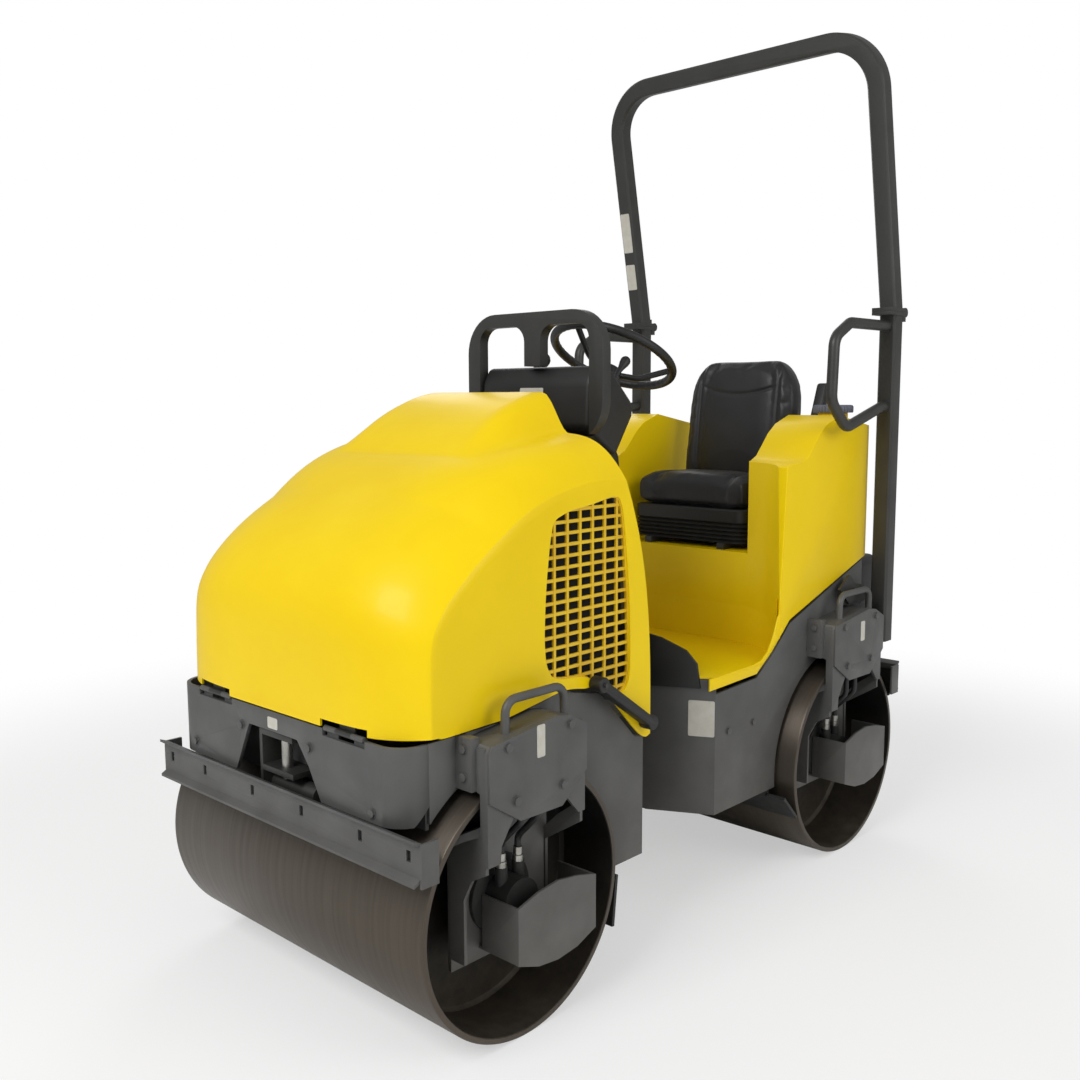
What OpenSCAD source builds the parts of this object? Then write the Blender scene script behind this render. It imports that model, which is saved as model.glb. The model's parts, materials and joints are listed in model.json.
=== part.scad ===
// Ride-on tandem roller: two smooth steel drums under an articulated frame, a hood
// over the engine, a seat on a moulded body and a folding roll-over bar.
// The ground is z = 0, the hood end is -Y and the left side, with the drive motors, is +X.

/* [Drums] */
// Distance between the two drum axles
wheelbase = 1310; // [1290:5:1340]
// Outer radius of a drum
drum_r = 280; // [276:1:284]
// Width of a drum
drum_w = 900; // [890:5:910]
// Thickness of a drum's shell
drum_shell = 13; // [10:1:16]
// Depth of a drum's open end
drum_recess = 150; // [145:1:155]

/* [Frame] */
// Distance from a drum's end in to the frame
frame_in = 50; // [48:1:55]
// Thickness of frame plate
plate = 8; // [6:1:9]
// Reach of the leg covers past a drum
leg_out = 30; // [25:1:35]
// Height of the rear legs above the front ones
rear_leg_lift = 35; // [25:1:40]

/* [Hood] */
// Reach of the hood's nose from the front axle
hood_nose = 285; // [280:1:290]
// Height of the hood's flat crown at its rear edge
hood_crown_z = 1212; // [1200:2:1220]
// Rise of the raised panel at the hood's rear edge
hood_panel_rise = 91; // [70:1:100]
// Wall of the moulded covers
moulding = 5; // [4:0.5:6]

/* [Operator's place] */
// Height of the floor's top
floor_z = 603; // [598:1:608]
// Height of the seat box
seat_box_z = 860; // [850:1:870]
// Radius of the steering wheel at its rim's centre
wheel_r = 165; // [150:1:175]
// Height of the roll-over bar
rops_z = 2290; // [2250:5:2330]
// Side of the roll-over bar's square tube
rops_tube = 50; // [46:1:54]

/* [Hidden] */
$fn = 48;
// Overrun of every cut, clearance between neighbours, running clearance of a shaft
over = 2;
gap = 0.3;
// Sides of a swept round bar and steps of each of its bends
bar_sides = 14;
bend_steps = 6;
run = 0.05;
// Shank and hole of a cover bolt
bolt_shank_r = 4.2;
bolt_hole_r = 4.5;
front_y = -wheelbase / 2;
rear_y = wheelbase / 2;
frame_w = drum_w - 2 * frame_in;
half_w = frame_w / 2;
leg_x = drum_w / 2 + leg_out;
// Colours
yellow = "#EDC811";
frame_grey = "#4F504D";
dark_grey = "#3B3B38";
black = "#1A1A18";
steel = "#6E675E";
silver = "#B5B5B0";
cap_blue = "#5F6270";

// Front side plates: foot, clearance of the arch round a drum
front_foot_z = 238;
arch_gap = 20;
arch_r = drum_r + arch_gap;
deck_z = 2 * drum_r + arch_gap;
front_end_y = -219;
front_plate_reach = 213;
front_plate_at = [front_y - front_plate_reach, front_foot_z];
front_plate_size = [649, 439];
front_plate_shares = [[0, 0.585], [0, 0.939], [0.308, 0.943], [0.564, 1], [0.761, 0.943],
    [0.952, 0.658], [1, 0.647], [1, 0], [0.2, 0]];
nose_plate_reach = 217;
nose_plate_y = front_y - nose_plate_reach;
nose_plate_z = 480;
front_wall_share = 0.64;

// Rear side plates
rear_end_y = 73;
rear_foot_z = 248;
rear_plate_at = [rear_end_y, rear_foot_z];
rear_plate_size = [741, 574];
rear_plate_shares = [[0, 0], [0, 0.544], [0.251, 0.557], [0.348, 0.639], [0.464, 0.767],
    [1, 1], [1, 0.35], [0.39, 0]];
// The rear frame's front wall is folded in plan
nose_half = 247;
nose_y = -8;
bracket_t = 16;
bracket_shares = [[0, 0.7], [0, 0.46], [0.93, 0], [1, 0], [1, 0.35], [0.14, 0.7]];
rear_wall_foot_z = 530;
rear_wall_y = rear_end_y + rear_plate_size.x;
// Articulation: pin, lugs of the yoke and spindle
pivot_y = -73;
pivot_pin_r = 25;
lug_w = 124;
lug_t = 25;
lug_low_z = 300;
lug_high_z = 455;
lug_gap = 1;
sleeve_r = 55;
collar_r = 50;
spindle_r = 32;
spindle_z = (lug_low_z + lug_t + lug_high_z) / 2;
spindle_end_y = 190;
housing_wall = 18;
pin_head_r = 38;
pin_head_t = 12;

// Steering cylinder: pins, barrel and rod
cyl_x = 141;
cyl_z = 345;
cyl_front_y = -345;
cyl_arm_x = 150;
barrel_r = 28;
barrel_len = 168;
barrel_hold = 80;
barrel_end_wall = 5;
rod_r = 14;
cyl_pin_r = 11;
cyl_eye_r = 24;
cyl_eye_t = 22;
cyl_open = 11;
cyl_open_wall = 10;
cyl_lug_t = 10;
cyl_slot = [90, 60];
arm_t = 18;

// Drum discs, bosses and the exciter
disc_t = 14;
boss_r = 85;
boss_len = 75;
stub_r = 40;
stub_len = 42;
journal_r = 25;
journal_len = 26;
exciter_r = 42;
exciter_off = 26;
exciter_arm = 230;

// Legs, seen from the side about the axle: plates, walls and guard
leg_plate = 8;
cover_t = 6;
leg_cover_at = [-132, 193];
leg_cover_size = [280, 190];
leg_cover_shares = [[0, 0.3], [0, 0.816], [0.025, 0.88], [0.676, 1], [0.817, 0.968], [1, 0.83],
    [1, 0.32], [0.73, 0], [0.302, 0.01]];
leg_outer_shares = [[0, -0.38], [0, 0.816], [0.025, 0.88], [0.676, 1], [0.817, 0.968], [1, 0.83],
    [1, -0.16], [0.93, -0.16], [0.8, 0.06], [0.25, 0.06], [0.13, -0.2], [0.12, -0.38]];
leg_top_shares = [[1, 0.83], [0.817, 0.968], [0.676, 1], [0.025, 0.88], [0, 0.816]];
// Walls of a leg: shares of its depth and height
leg_depth = 126;
leg_wall_z = [-100, 355];
leg_front_shares = [[0, 0], [0, 0.5], [0.4, 0.56], [0.82, 0.61], [0.82, 0.8], [0.42, 0.83], [0.373, 1],
    [0.94, 1], [0.94, 0.45], [0.6, 0.4], [0.4, 0.3], [0.4, 0]];
leg_rear_shares = [[0, 0], [0, 0.42], [0.4, 0.52], [0.82, 0.6], [0.82, 0.8], [0.42, 0.83], [0.373, 1],
    [0.94, 1], [0.94, 0.52], [0.1, 0.38], [0.1, 0]];
guard_at = [-57, -128];
guard_size = [234, 166];
guard_shares = [[0, 0.15], [0, 0.86], [0.25, 0.96], [0.5, 1], [0.75, 0.95], [1, 0.86],
    [1, 0.15], [0.75, 0.02], [0.5, -0.02], [0.25, 0.02]];
guard_foot_shares = [[0, 0.15], [0.25, 0.02], [0.5, -0.02], [0.75, 0.02], [1, 0.15]];
guard_wall_share = 0.86;
guard_foot_share = 0.15;
inner_plate_top = 150;
flange_size = [44, 13, 105];
flange_z = 268;
tie_bar_r = 9;
tie_out = 50;
tie_x = half_w + tie_out;
tie_y = [-60, 110];
tie_z = [335, 432];
tie_bend = 28;
// Leg cover bolts, as shares of the cover
bolt_r = 8;
bolt_head_t = 6;
bolt_shares = [[0.18, 0.826], [0.82, 0.87], [0.26, 0.237], [0.736, 0.237]];

// Drive motor inside a leg and its hoses
motor_r = 48;
motor_len = 70;
motor_flange_r = 82;
motor_flange_t = 10;
motor_port_r = 13;
motor_port_len = 22;
hose_r = 7;
fitting_r = 11;
fitting_len = 30;
hose_rise = [50, 110];
hose_bend = 20;

// Apron: corner radius, heights and the opening for the towing gear
apron_y = front_y - hood_nose;
apron_z = [495, 650];
apron_corner = 62;
apron_depth = 72;
apron_opening_at = [-160, 485];
apron_opening_size = [320, 122];
apron_opening_shares = [[0, 0], [0.19, 1], [0.74, 1], [0.86, 0.62], [1, 0]];
apron_bolts_at = [[-322, 523], [-129, 599], [118, 600], [318, 515]];
apron_corner_cut = 24;

// Towing gear
tow_pin_r = 12;
tow_pin_top = 614;
tow_pin_foot = 500;
tow_collar_share = 1.7;
tow_plate_t = 12;
tow_plate_z = [512, 590];
tow_w = 110;
tow_depth = 50;
tow_bar_r = 20;
tow_bar_len = 190;
tow_bar_z = 479;
tow_x = -8;
tow_web_t = 10;

// Scraper beams, blades and inner scrapers
beam_reach = 283;
beam_y = front_y - beam_reach;
beam_z = [420, 487];
beam_t = 6;
lip = 20;
lip_rise = 8;
beam_slot = [12, 22];
beam_slot_at = [-427, -283, -90, 90, 283, 427];
beam_slot_share = 0.7;
beam_end = 8;
blade_t = 7;
blade_z = [401, 478];
blade_gap = 1.5;
end_plate = [6, 42, 85];
beam_arm = [16, 12];
beam_arm_x = 300;
inner_blade_t = 8;
hanger_t = 8;
// Tip's height, heel and foot of the scrapers between the drums
front_inner_z = 249;
front_inner_heel = [-388, 134];
front_inner_foot = [[-375, 235], [-330, 300], [-300, 300], [-300, 240], [-380, 150]];
rear_inner_z = 167;
rear_inner_heel = [330, 237];
rear_inner_foot = [[345, 238], [250, 275], [200, 300], [170, 285], [240, 262], [330, 226]];

// Things under the hood: size and the middle of the foot
engine_size = [330, 290, 250];
engine_at = [20, -665];
sump_size = [230, 220, 60];
head_size = [250, 150, 70];
fan_r = 150;
fan_at = [0, -470, 790];
fan_t = 26;
fan_hub_r = 34;
fan_shaft_r = 12;
fan_blades = 7;
fan_blade_share = 0.8;
fan_blade_pitch = 30;
radiator_size = [440, 46, 400];
radiator_y = -410;
radiator_tank = 46;
tank_size = [150, 260, 230];
tank_in = 35;
tank_at = [tank_in + tank_size.x / 2 - half_w, -620];
tank_neck_r = 30;
muffler_r = 62;
muffler_len = 300;
muffler_in = 115;
muffler_at = [half_w - muffler_in, -640, 730];
exhaust_r = 20;
pump_r = 55;
pump_len = 62;
pump_at = [20, 690];
pump_flange_r = 72;
pump_flange_t = 20;

// Hood: stations and columns of the skin, and the shares that shape it
hood_steps = 18;
hood_overhang = 5;
hood_half = half_w + hood_overhang;
hood_foot_z = 525;
hood_box_at = [apron_y, hood_foot_z];
hood_box_size = [735, hood_crown_z - hood_foot_z];
hood_top_shares = [[0, 0.19], [0, 0.34], [0.003, 0.488], [0.025, 0.582], [0.082, 0.67], [0.163, 0.75],
    [0.272, 0.827], [0.408, 0.91], [0.544, 0.96], [0.694, 0.987], [0.837, 1]];
hood_crease_shares = [[0.1, 0.197], [0.1, 0.33], [0.109, 0.464], [0.147, 0.536], [0.197, 0.591],
    [0.265, 0.652], [0.354, 0.718], [0.468, 0.789], [0.589, 0.831], [0.735, 0.859], [0.884, 0.854]];
hood_foot_shares = [[0.125, 0.193], [0.145, 0.191], [0.204, 0.192], [0.286, 0.194], [0.37, 0.197],
    [0.483, 0.214], [0.596, 0.23], [0.68, 0.22], [0.773, 0.194], [0.946, 0.012], [1, 0]];
hood_column_shares = [0, 0.22, 0.44, 0.53, 0.62, 0.72, 0.82, 0.88, 0.94, 1];
hood_side_shares = [0.12, 0.35, 0.65, 1];
hood_tumble_share = 0.01;
panel_start_share = 0.467;
panel_end_share = 0.837;
panel_edge_shares = [0.46, 0.66];
panel_power = 1.7;
crown_share = 0.6;
crown_powers = [6, 3.5, 10];
notch_w = 134;
notch_h = 15;
notch_x = 232;
notch_depth = 30;
grille_reach = 95;
grille_at = [front_y + grille_reach, 632];
grille_size = [282, 454];
grille_shares = [[0, 0.37], [0.02, 0.6], [0.07, 0.82], [0.11, 0.91], [0.3, 0.948], [0.47, 0.958],
    [0.85, 1], [0.915, 0.92], [0.99, 0.47], [1, 0.07], [0.86, 0], [0.71, 0.053], [0.48, 0.154],
    [0.1, 0.174], [0.02, 0.25]];
grille_columns = 7;
grille_rows = 19;
grille_bar = 7;
grille_t = 6;
grille_lap = 14;
hinge_r = 6;
hinge_pin_r = 3;
hinge_in = 4;
hinge_up = 1;
hinge_y = apron_y + hinge_in;
hinge_z = apron_z[1] + hinge_up;
hinge_w = 124;
hinge_share = 0.3;
leaf = [5, 44];
latch_z = [682, 562];
latch_y = [-405, -232];
latch_bar_r = 11;
latch_pad_r = 17;
latch_stud_r = 5;
latch_washer = [12, 3];
latch_stand = 26;

// Body over the rear drum: side outline, floor and seat opening
body_at = [-7, 572];
body_size = [839, 671];
body_side_shares = [[0.065, 0], [0.065, 0.046], [0.3, 0.05], [0.38, 0.075], [0.44, 0.25], [0.471, 0.811],
    [0.541, 0.879], [0.664, 0.943], [0.793, 1], [1, 0.954], [1, 0.387], [0.505, 0.188], [0.403, 0.08],
    [0.317, 0.009]];
body_top_shares = [[0.471, 0.811], [0.541, 0.879], [0.664, 0.943], [0.793, 1], [1, 0.954]];
shoulder_share = 0.811;
seat_wall_share = 0.555;
fender_in_x = 235;
front_wall_shares = [[-1, 0.44], [-0.92, 0.475], [-0.78, 0.52], [-0.58, 0.555], [0.58, 0.555],
    [0.78, 0.52], [0.92, 0.475], [1, 0.44]];
floor_t = 6;
kick_at = [0, 574];
kick_size = [400, 149];
kick_shares = [[-0.92, 0], [-0.9, 0.42], [-0.84, 0.64], [-0.7, 0.84], [-0.5, 1], [0.5, 1],
    [0.7, 0.84], [0.84, 0.64], [0.9, 0.42], [0.92, 0]];
kick_t = 6;
rear_cover_y = 950;
rear_cover_z = [560, 820];
rear_cover_w = 760;
rear_cover_corner = 30;
cap_r = 57;
cap_h = 22;
cap_ribs = 24;
cap_rib_r = 3;
cap_rib_sides = 8;
plug_r = 34;
plug_h = 14;
neck_r = 42;
neck_z = [1206, 1249];
rear_back_z = 832;
cap_in = 70;
cap_at = [half_w - cap_in, 745];

// Console: pod, column, steering shaft's tube and the frame round it
console_w = 370;
console_at = [-165, 1150];
console_size = [175, 222];
console_shares = [[0, 0.32], [0.03, 0.82], [0.16, 1], [0.5, 0.97], [0.98, 0.6], [1, 0.45], [0.62, 0]];
dash_from_share = console_shares[3];
dash_to_share = console_shares[4];
column_w = 120;
column_at = [80, floor_z];
column_size = [90, 577];
column_shares = [[0.05, 0], [1, 0], [1, 0.12], [0.3, 0.93], [0.05, 1], [-1.6, 1], [-1.6, 0.86], [-0.2,
    0.8]];
hoop_size = [460, 315];
hoop_z = 1190;
hoop_t = 30;
hoop_corner = 60;
hoop_bar = [43, 33];
hoop_post = 54;
hoop_foot = 16;
wheel_at = [0, 150, 1405];
wheel_tilt = 28;
wheel_rim_r = 12;
wheel_hub_r = 38;
wheel_hub_h = 34;
wheel_hub_drop = 68;
spoke_r = 9;
spokes = 3;
shaft_r = 18;
shaft_end = 230;
tube_r = 30;
tube_run = [76, 264];
horn_r = 15;
horn_h = 8;
horn_stand = 4;
key_x = 80;
key_r = 9;
key_depth = 15;
key_bow = [5, 24, 24];
lever_r = 8;
lever_hub_r = 12;
lever_w = 16;
lever_pin_r = 4;
lever_pin_w = 24;
lever_drop = 28;
lever_slot = [20, 104, 60];
travel_x = -150;
travel_len = 100;
travel_knob_r = 21;
throttle_x = 145;
throttle_len = 85;
throttle_knob_r = 13;

// Seat: rails, pan with its bracket, cushion and backrest
seat_y = [490, 815];
seat_half = 200;
rail_size = [24, 350, 18];
rail_x = 130;
pan_h = 96;
pan_wall = 5;
bracket_w = 120;
bracket_depth = 12;
bracket_h = 260;
pad_shares = [-1, -0.97, -0.9, -0.8, -0.68, -0.62, -0.56, -0.44, -0.22, 0,
    0.22, 0.44, 0.56, 0.62, 0.68, 0.8, 0.9, 0.97, 1];
pad_power = 5;
channel_share = 0.62;
channel_width_share = 0.05;
cushion_size = [424, 222, 96];
cushion_crown = 14;
cushion_bolster = 10;
back_size = [420, 420, 88];
back_narrow_share = 0.3;
back_crown = 12;
back_bolster = 16;
back_lean = 7;
back_z = 1012;
channel_depth = 6;
side_pull_share = 0.03;
corner_pull_share = 0.06;
belt_size = [34, 40, 118];
belt_x = 238;
belt_y = 788;
belt_lean = 22;
belt_top = 20;

// Roll-over bar: posts, joint, gussets and hand loops
post_out = 50;
post_x = half_w + post_out;
post_y = 845;
post_foot_z = 583;
joint_z = 1532;
joint_t = 10;
joint_w = 60;
joint_depth = 84;
joint_stud_in = 16;
joint_stud_r = 6;
joint_hole_r = 9;
joint_eye_r = 13.5;
joint_pin_r = 7;
joint_lug_t = 12;
joint_lug_x = 19;
joint_eye_t = 24;
joint_lug_h = 26;
rops_lean = 11;
rops_corner = 140;
rops_wall = 4;
rops_chamfer = 6;
gusset_t = 8;
gusset_at = [641, 583];
gusset_size = [229, 208];
gusset_shares = [[0, 0.827], [0.24, 1], [0.6, 0.7], [1, 0.7], [1, 0], [0.73, 0], [0.73, 0.59],
    [0.25, 0.59]];
spacer_y = [672, 790];
spacer_z = [705, 752];
hand_r = 15;
hand_shares = [[1, 0.975], [0.28, 0.975], [0, 0.83], [-0.03, 0.25], [0.25, 0], [0.93, 0.19], [1, 0.19]];
hand_at = [525, 1210];
hand_h = 290;
hand_bend = 45;

// Points given as shares of a box
function laid(shares, at, size) = [for (s = shares) [at.x + s.x * size.x, at.y + s.y * size.y]];

// A line of points moved to its left by d
function side_of(a, b) = [a.y - b.y, b.x - a.x] / norm(b - a);
function moved(p, d) = [for (i = [0:len(p) - 1])
    let (m = i > 0 ? side_of(p[i - 1], p[i]) : side_of(p[0], p[1]))
    let (n = i < len(p) - 1 ? side_of(p[i], p[i + 1]) : m)
    p[i] + (m + n) * d / (1 + m * n)];
function back(p) = [for (i = [len(p) - 1:-1:0]) p[i]];
function ribbon(p, t) = concat(p, back(moved(p, t)));
function extruded(p, x) = [for (q = p) [x, q.x, q.y]];

// Smooth curve through points, with t from 0 to 1
function curve(p, t) =
    let (n = len(p) - 1, s = t * n, i = min(floor(s), n - 1), f = s - i)
    let (a = p[max(i - 1, 0)], b = p[i], c = p[i + 1], d = p[min(i + 2, n)])
    (2 * b + (c - a) * f + (2 * a - 5 * b + 4 * c - d) * f * f + (3 * b - a - 3 * c + d) * f * f * f) / 2;
function eased(v) = v * v * (3 - 2 * v);
function clamped(v) = min(max(v, 0), 1);
function mix(a, b, f) = a + (b - a) * f;

// Extrusions of a side view, a front view and a plan
module along_x(x0, x1) {
    translate([x0, 0, 0])
        rotate([90, 0, 90])
            linear_extrude(x1 - x0)
                children();
}

module along_y(y0, y1) {
    translate([0, y1, 0])
        rotate([90, 0, 0])
            linear_extrude(y1 - y0)
                children();
}

module along_z(z0, z1) {
    translate([0, 0, z0])
        linear_extrude(z1 - z0)
            children();
}

module rod_x(r, x0, x1, y, z) {
    translate([x0, y, z])
        rotate([0, 90, 0])
            cylinder(r = r, h = x1 - x0);
}

module rod_y(r, y0, y1, x, z) {
    translate([x, y1, z])
        rotate([90, 0, 0])
            cylinder(r = r, h = y1 - y0);
}

module rod_z(r, z0, z1, x, y) {
    translate([x, y, z0])
        cylinder(r = r, h = z1 - z0);
}

module block(lo, hi) {
    translate(lo)
        cube(hi - lo);
}

// Box with its middle at a point
module centred(size, at) {
    translate(at)
        cube(size, center = true);
}

module both_sides() {
    children();
    mirror([1, 0, 0])
        children();
}

// Rounded rectangle from plain shapes, so that its corners stay round
module round_rect(size, r) {
    square([size.x - 2 * r, size.y], center = true);
    square([size.x, size.y - 2 * r], center = true);
    for (i = [-1, 1], j = [-1, 1])
        translate([i * (size.x / 2 - r), j * (size.y / 2 - r)])
            circle(r);
}

// Straight round bar between two points
module bar(a, b, r) {
    v = b - a;
    translate(a)
        rotate([0, acos(v.z / norm(v)), atan2(v.y, v.x)])
            cylinder(r = r, h = norm(v));
}

// Corner of a line of points turned into an arc of one radius
function unit(v) = v / norm(v);
function arc_at(p, i, bend) =
    let (a = unit(p[i] - p[i - 1]), b = unit(p[i + 1] - p[i]), turn = acos(a * b))
    let (n = unit(b - a * (a * b)), c = p[i] - a * bend * tan(turn / 2) + n * bend)
    [for (k = [0:bend_steps]) c + (a * sin(turn * k / bend_steps) - n * cos(turn * k / bend_steps)) * bend];
function rounded(p, bend) = [p[0], for (i = [1:1:len(p) - 2]) for (q = arc_at(p, i, bend)) q,
    p[len(p) - 1]];

// Round bar swept along points; side is a direction that the line never takes
function ring_at(p, i, r, side) =
    let (a = unit(p[min(i + 1, len(p) - 1)] - p[max(i - 1, 0)]), u = unit(side - a * (side * a)),
        v = cross(a, u))
    [for (k = [0:bar_sides - 1]) p[i] + (u * cos(k * 360 / bar_sides) + v * sin(k * 360 / bar_sides)) * r];

module pipe(p, r, bend, side) {
    path = rounded(p, bend);
    n = bar_sides;
    last = (len(path) - 1) * n;
    wall = flat([for (i = [0:len(path) - 2]) for (k = [0:n - 1])
        two(i * n + k, (i + 1) * n + k, (i + 1) * n + (k + 1) % n, i * n + (k + 1) % n)]);
    polyhedron(flat([for (i = [0:len(path) - 1]) ring_at(path, i, r, side)]),
        concat(wall, [[for (k = [0:n - 1]) k], [for (k = [n - 1:-1:0]) last + k]]), convexity = 4);
}

// Two triangles for a square of points
function two(a, b, c, d) = [[a, b, c], [a, c, d]];
function flat(l) = [for (a = l) for (b = a) b];

// Front frame
module frame_side(shares, at, size, axle_y) {
    both_sides()
        difference() {
            along_x(half_w - plate, half_w)
                polygon(laid(shares, at, size));
            rod_x(arch_r, half_w - plate - over, half_w + over, axle_y, drum_r);
        }
}

module cylinder_slot(y0, y1) {
    block([cyl_x - cyl_slot.x / 2, y0, cyl_z - cyl_slot.y / 2], [cyl_x + cyl_slot.x / 2, y1,
        cyl_z + cyl_slot.y / 2]);
}

module front_chassis() {
    wall_y = front_end_y - plate;
    inner = half_w - plate;
    wall_top = front_plate_at.y + front_wall_share * front_plate_size.y;
    color(frame_grey) {
        frame_side(front_plate_shares, front_plate_at, front_plate_size, front_y);
        difference() {
            block([-inner, wall_y, front_foot_z + plate], [inner, front_end_y, wall_top]);
            cylinder_slot(wall_y - over, front_end_y + over);
        }
        block([-inner, nose_plate_y, deck_z], [inner, wall_y, deck_z + plate]);
        block([-inner, nose_plate_y, nose_plate_z], [inner, nose_plate_y + plate, deck_z]);
        for (z = [lug_low_z, lug_high_z])
            difference() {
                union() {
                    block([-lug_w / 2, front_end_y, z], [lug_w / 2, pivot_y, z + lug_t]);
                    rod_z(lug_w / 2, z, z + lug_t, 0, pivot_y);
                }
                rod_z(pivot_pin_r, z - over, z + lug_t + over, 0, pivot_y);
            }
        cylinder_lugs(wall_y);
    }
}

// Two lugs over and under the barrel, with its pin
module cylinder_lugs(wall_y) {
    z = barrel_r + over + gap;
    for (s = [-1, 1])
        centred([2 * cyl_eye_r, wall_y - cyl_front_y + cyl_eye_r, cyl_lug_t],
            [cyl_x, (wall_y + cyl_front_y - cyl_eye_r) / 2, cyl_z + s * (z + cyl_lug_t / 2)]);
    rod_z(cyl_pin_r, cyl_z - z, cyl_z + z, cyl_x, cyl_front_y);
}

module front_apron() {
    top = apron_z[1] - notch_h;
    color(frame_grey) {
        difference() {
            along_z(apron_z[0], apron_z[1])
                translate([0, apron_y + apron_depth])
                    difference() {
                        round_rect([frame_w, 2 * apron_depth], apron_corner);
                        round_rect([frame_w - 2 * plate, 2 * (apron_depth - plate)], apron_corner - plate);
                    }
            block([-frame_w, apron_y + apron_depth, apron_z[0] - over],
                [frame_w, apron_y + 2 * apron_depth + over, apron_z[1] + over]);
            along_y(apron_y - over, apron_y + plate + over)
                polygon(laid(apron_opening_shares, apron_opening_at, apron_opening_size));
            for (p = apron_bolts_at)
                rod_y(bolt_hole_r, apron_y - over, apron_y + plate + over, p.x, p.y);
            both_sides() {
                block([notch_x - notch_w / 2, apron_y - over, top], [notch_x + notch_w / 2,
                    apron_y + plate + over, apron_z[1] + over]);
                translate([half_w, apron_y + apron_depth, apron_z[0]])
                    rotate([45, 0, 0])
                        cube(2 * apron_corner_cut, center = true);
            }
        }
        both_sides()
            apron_hinge();
    }
}

// Fixed half of a hood hinge: leaf, two knuckles and the pin
module apron_hinge() {
    knuckle = hinge_share * hinge_w;
    x0 = notch_x - hinge_w / 2;
    x1 = notch_x + hinge_w / 2;
    for (x = [x0, x1 - knuckle])
        rod_x(hinge_r, x, x + knuckle, hinge_y, hinge_z);
    rod_x(hinge_pin_r, x0, x1, hinge_y, hinge_z);
    for (x = [x0, x1 - knuckle])
        block([x, apron_y + plate, hinge_z - leaf.y], [x + knuckle, apron_y + plate + leaf.x, hinge_z]);
    for (x = [x0, x1 - knuckle])
        block([x, hinge_y, hinge_z - hinge_r], [x + knuckle, apron_y + plate + leaf.x, hinge_z]);
}

// Hexagon bolt along -Y under the plane it is placed on
module hex_bolt(shank) {
    rotate([-90, 0, 0])
        cylinder(r = bolt_shank_r, h = shank);
    rotate([90, 0, 0])
        cylinder(r = bolt_r, h = bolt_head_t, $fn = 6);
}

module leg_bolts(axle_y, lift) {
    for (p = laid(bolt_shares, leg_cover_at, leg_cover_size))
        both_sides()
            translate([leg_x, axle_y + p.x, drum_r + lift + p.y])
                rotate([0, 0, 90])
                    hex_bolt(leg_plate + cover_t);
}

module front_bolts() {
    color(frame_grey) {
        leg_bolts(front_y, 0);
        for (p = apron_bolts_at)
            translate([p.x, apron_y, p.y])
                hex_bolt(plate);
    }
}

// Towing jaw behind the apron's opening, with a damper bar below it
module tow_bracket() {
    y0 = apron_y + plate;
    color(dark_grey) {
        for (z = tow_plate_z)
            difference() {
                block([tow_x - tow_w / 2, y0, z], [tow_x + tow_w / 2, nose_plate_y, z + tow_plate_t]);
                rod_z(tow_pin_r + run, z - over, z + tow_plate_t + over, tow_x, y0 + tow_depth / 2);
            }
        block([tow_x - tow_w / 2 - tow_web_t, y0, tow_bar_z], [tow_x - tow_w / 2, nose_plate_y,
            tow_plate_z[1] + tow_plate_t]);
        rod_x(tow_bar_r, tow_x - tow_bar_len / 2, tow_x + tow_bar_len / 2, nose_plate_y - tow_bar_r,
            tow_bar_z);
    }
}

module tow_pin() {
    y = apron_y + plate + tow_depth / 2;
    z = tow_plate_z[1] + tow_plate_t;
    color(steel) {
        rod_z(tow_pin_r, tow_pin_foot, tow_pin_top, tow_x, y);
        rod_z(tow_collar_share * tow_pin_r, z, z + tow_pin_r / 2, tow_x, y);
    }
}

// Legs: everything is placed from the axle, and lift raises a leg above it
function leg_outer() = leg_x - cover_t;
function leg_inner() = leg_outer() - leg_depth + leg_plate;
function motor_face() = leg_inner() + leg_plate;

module leg(lift) {
    outer = leg_outer();
    in_x = leg_inner();
    wall_size = [leg_depth - leg_plate, leg_wall_z[1] - leg_wall_z[0]];
    y0 = leg_cover_at.x;
    y1 = leg_cover_at.x + leg_cover_size.x;
    difference() {
        along_x(outer - leg_plate, outer)
            polygon(laid(leg_outer_shares, leg_cover_at, leg_cover_size));
        for (p = laid(bolt_shares, leg_cover_at, leg_cover_size))
            rod_x(bolt_hole_r, outer - leg_plate - over, outer + over, p.x, p.y);
    }
    along_y(y0, y0 + leg_plate)
        polygon(laid(leg_front_shares, [in_x, leg_wall_z[0]], wall_size));
    along_y(y1 - leg_plate, y1)
        polygon(laid(leg_rear_shares, [in_x, leg_wall_z[0]], wall_size));
    along_x(half_w, outer - leg_plate)
        polygon(ribbon(laid(leg_top_shares, leg_cover_at, leg_cover_size), leg_plate));
    block([half_w, y0, max(flange_z, drum_r - lift + leg_plate)], [half_w + leg_plate, y1,
        leg_wall_z[1] - leg_plate]);
    block([half_w, y0 - flange_size.y, flange_z], [half_w + flange_size.x, y0 + leg_plate,
        flange_z + flange_size.z]);
    pipe(extruded([[tie_y[0], tie_z[0]], [tie_y[0], tie_z[1]], [tie_y[1], tie_z[1]], [tie_y[1],
        tie_z[0]]], tie_x),
        tie_bar_r, tie_bend, [1, 0, 0]);
    difference() {
        block([in_x, y0, guard_at.y], [in_x + leg_plate, y1, inner_plate_top]);
        rod_x(motor_r + over, in_x - over, in_x + leg_plate + over, 0, -lift);
    }
    guard(lift);
}

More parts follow.
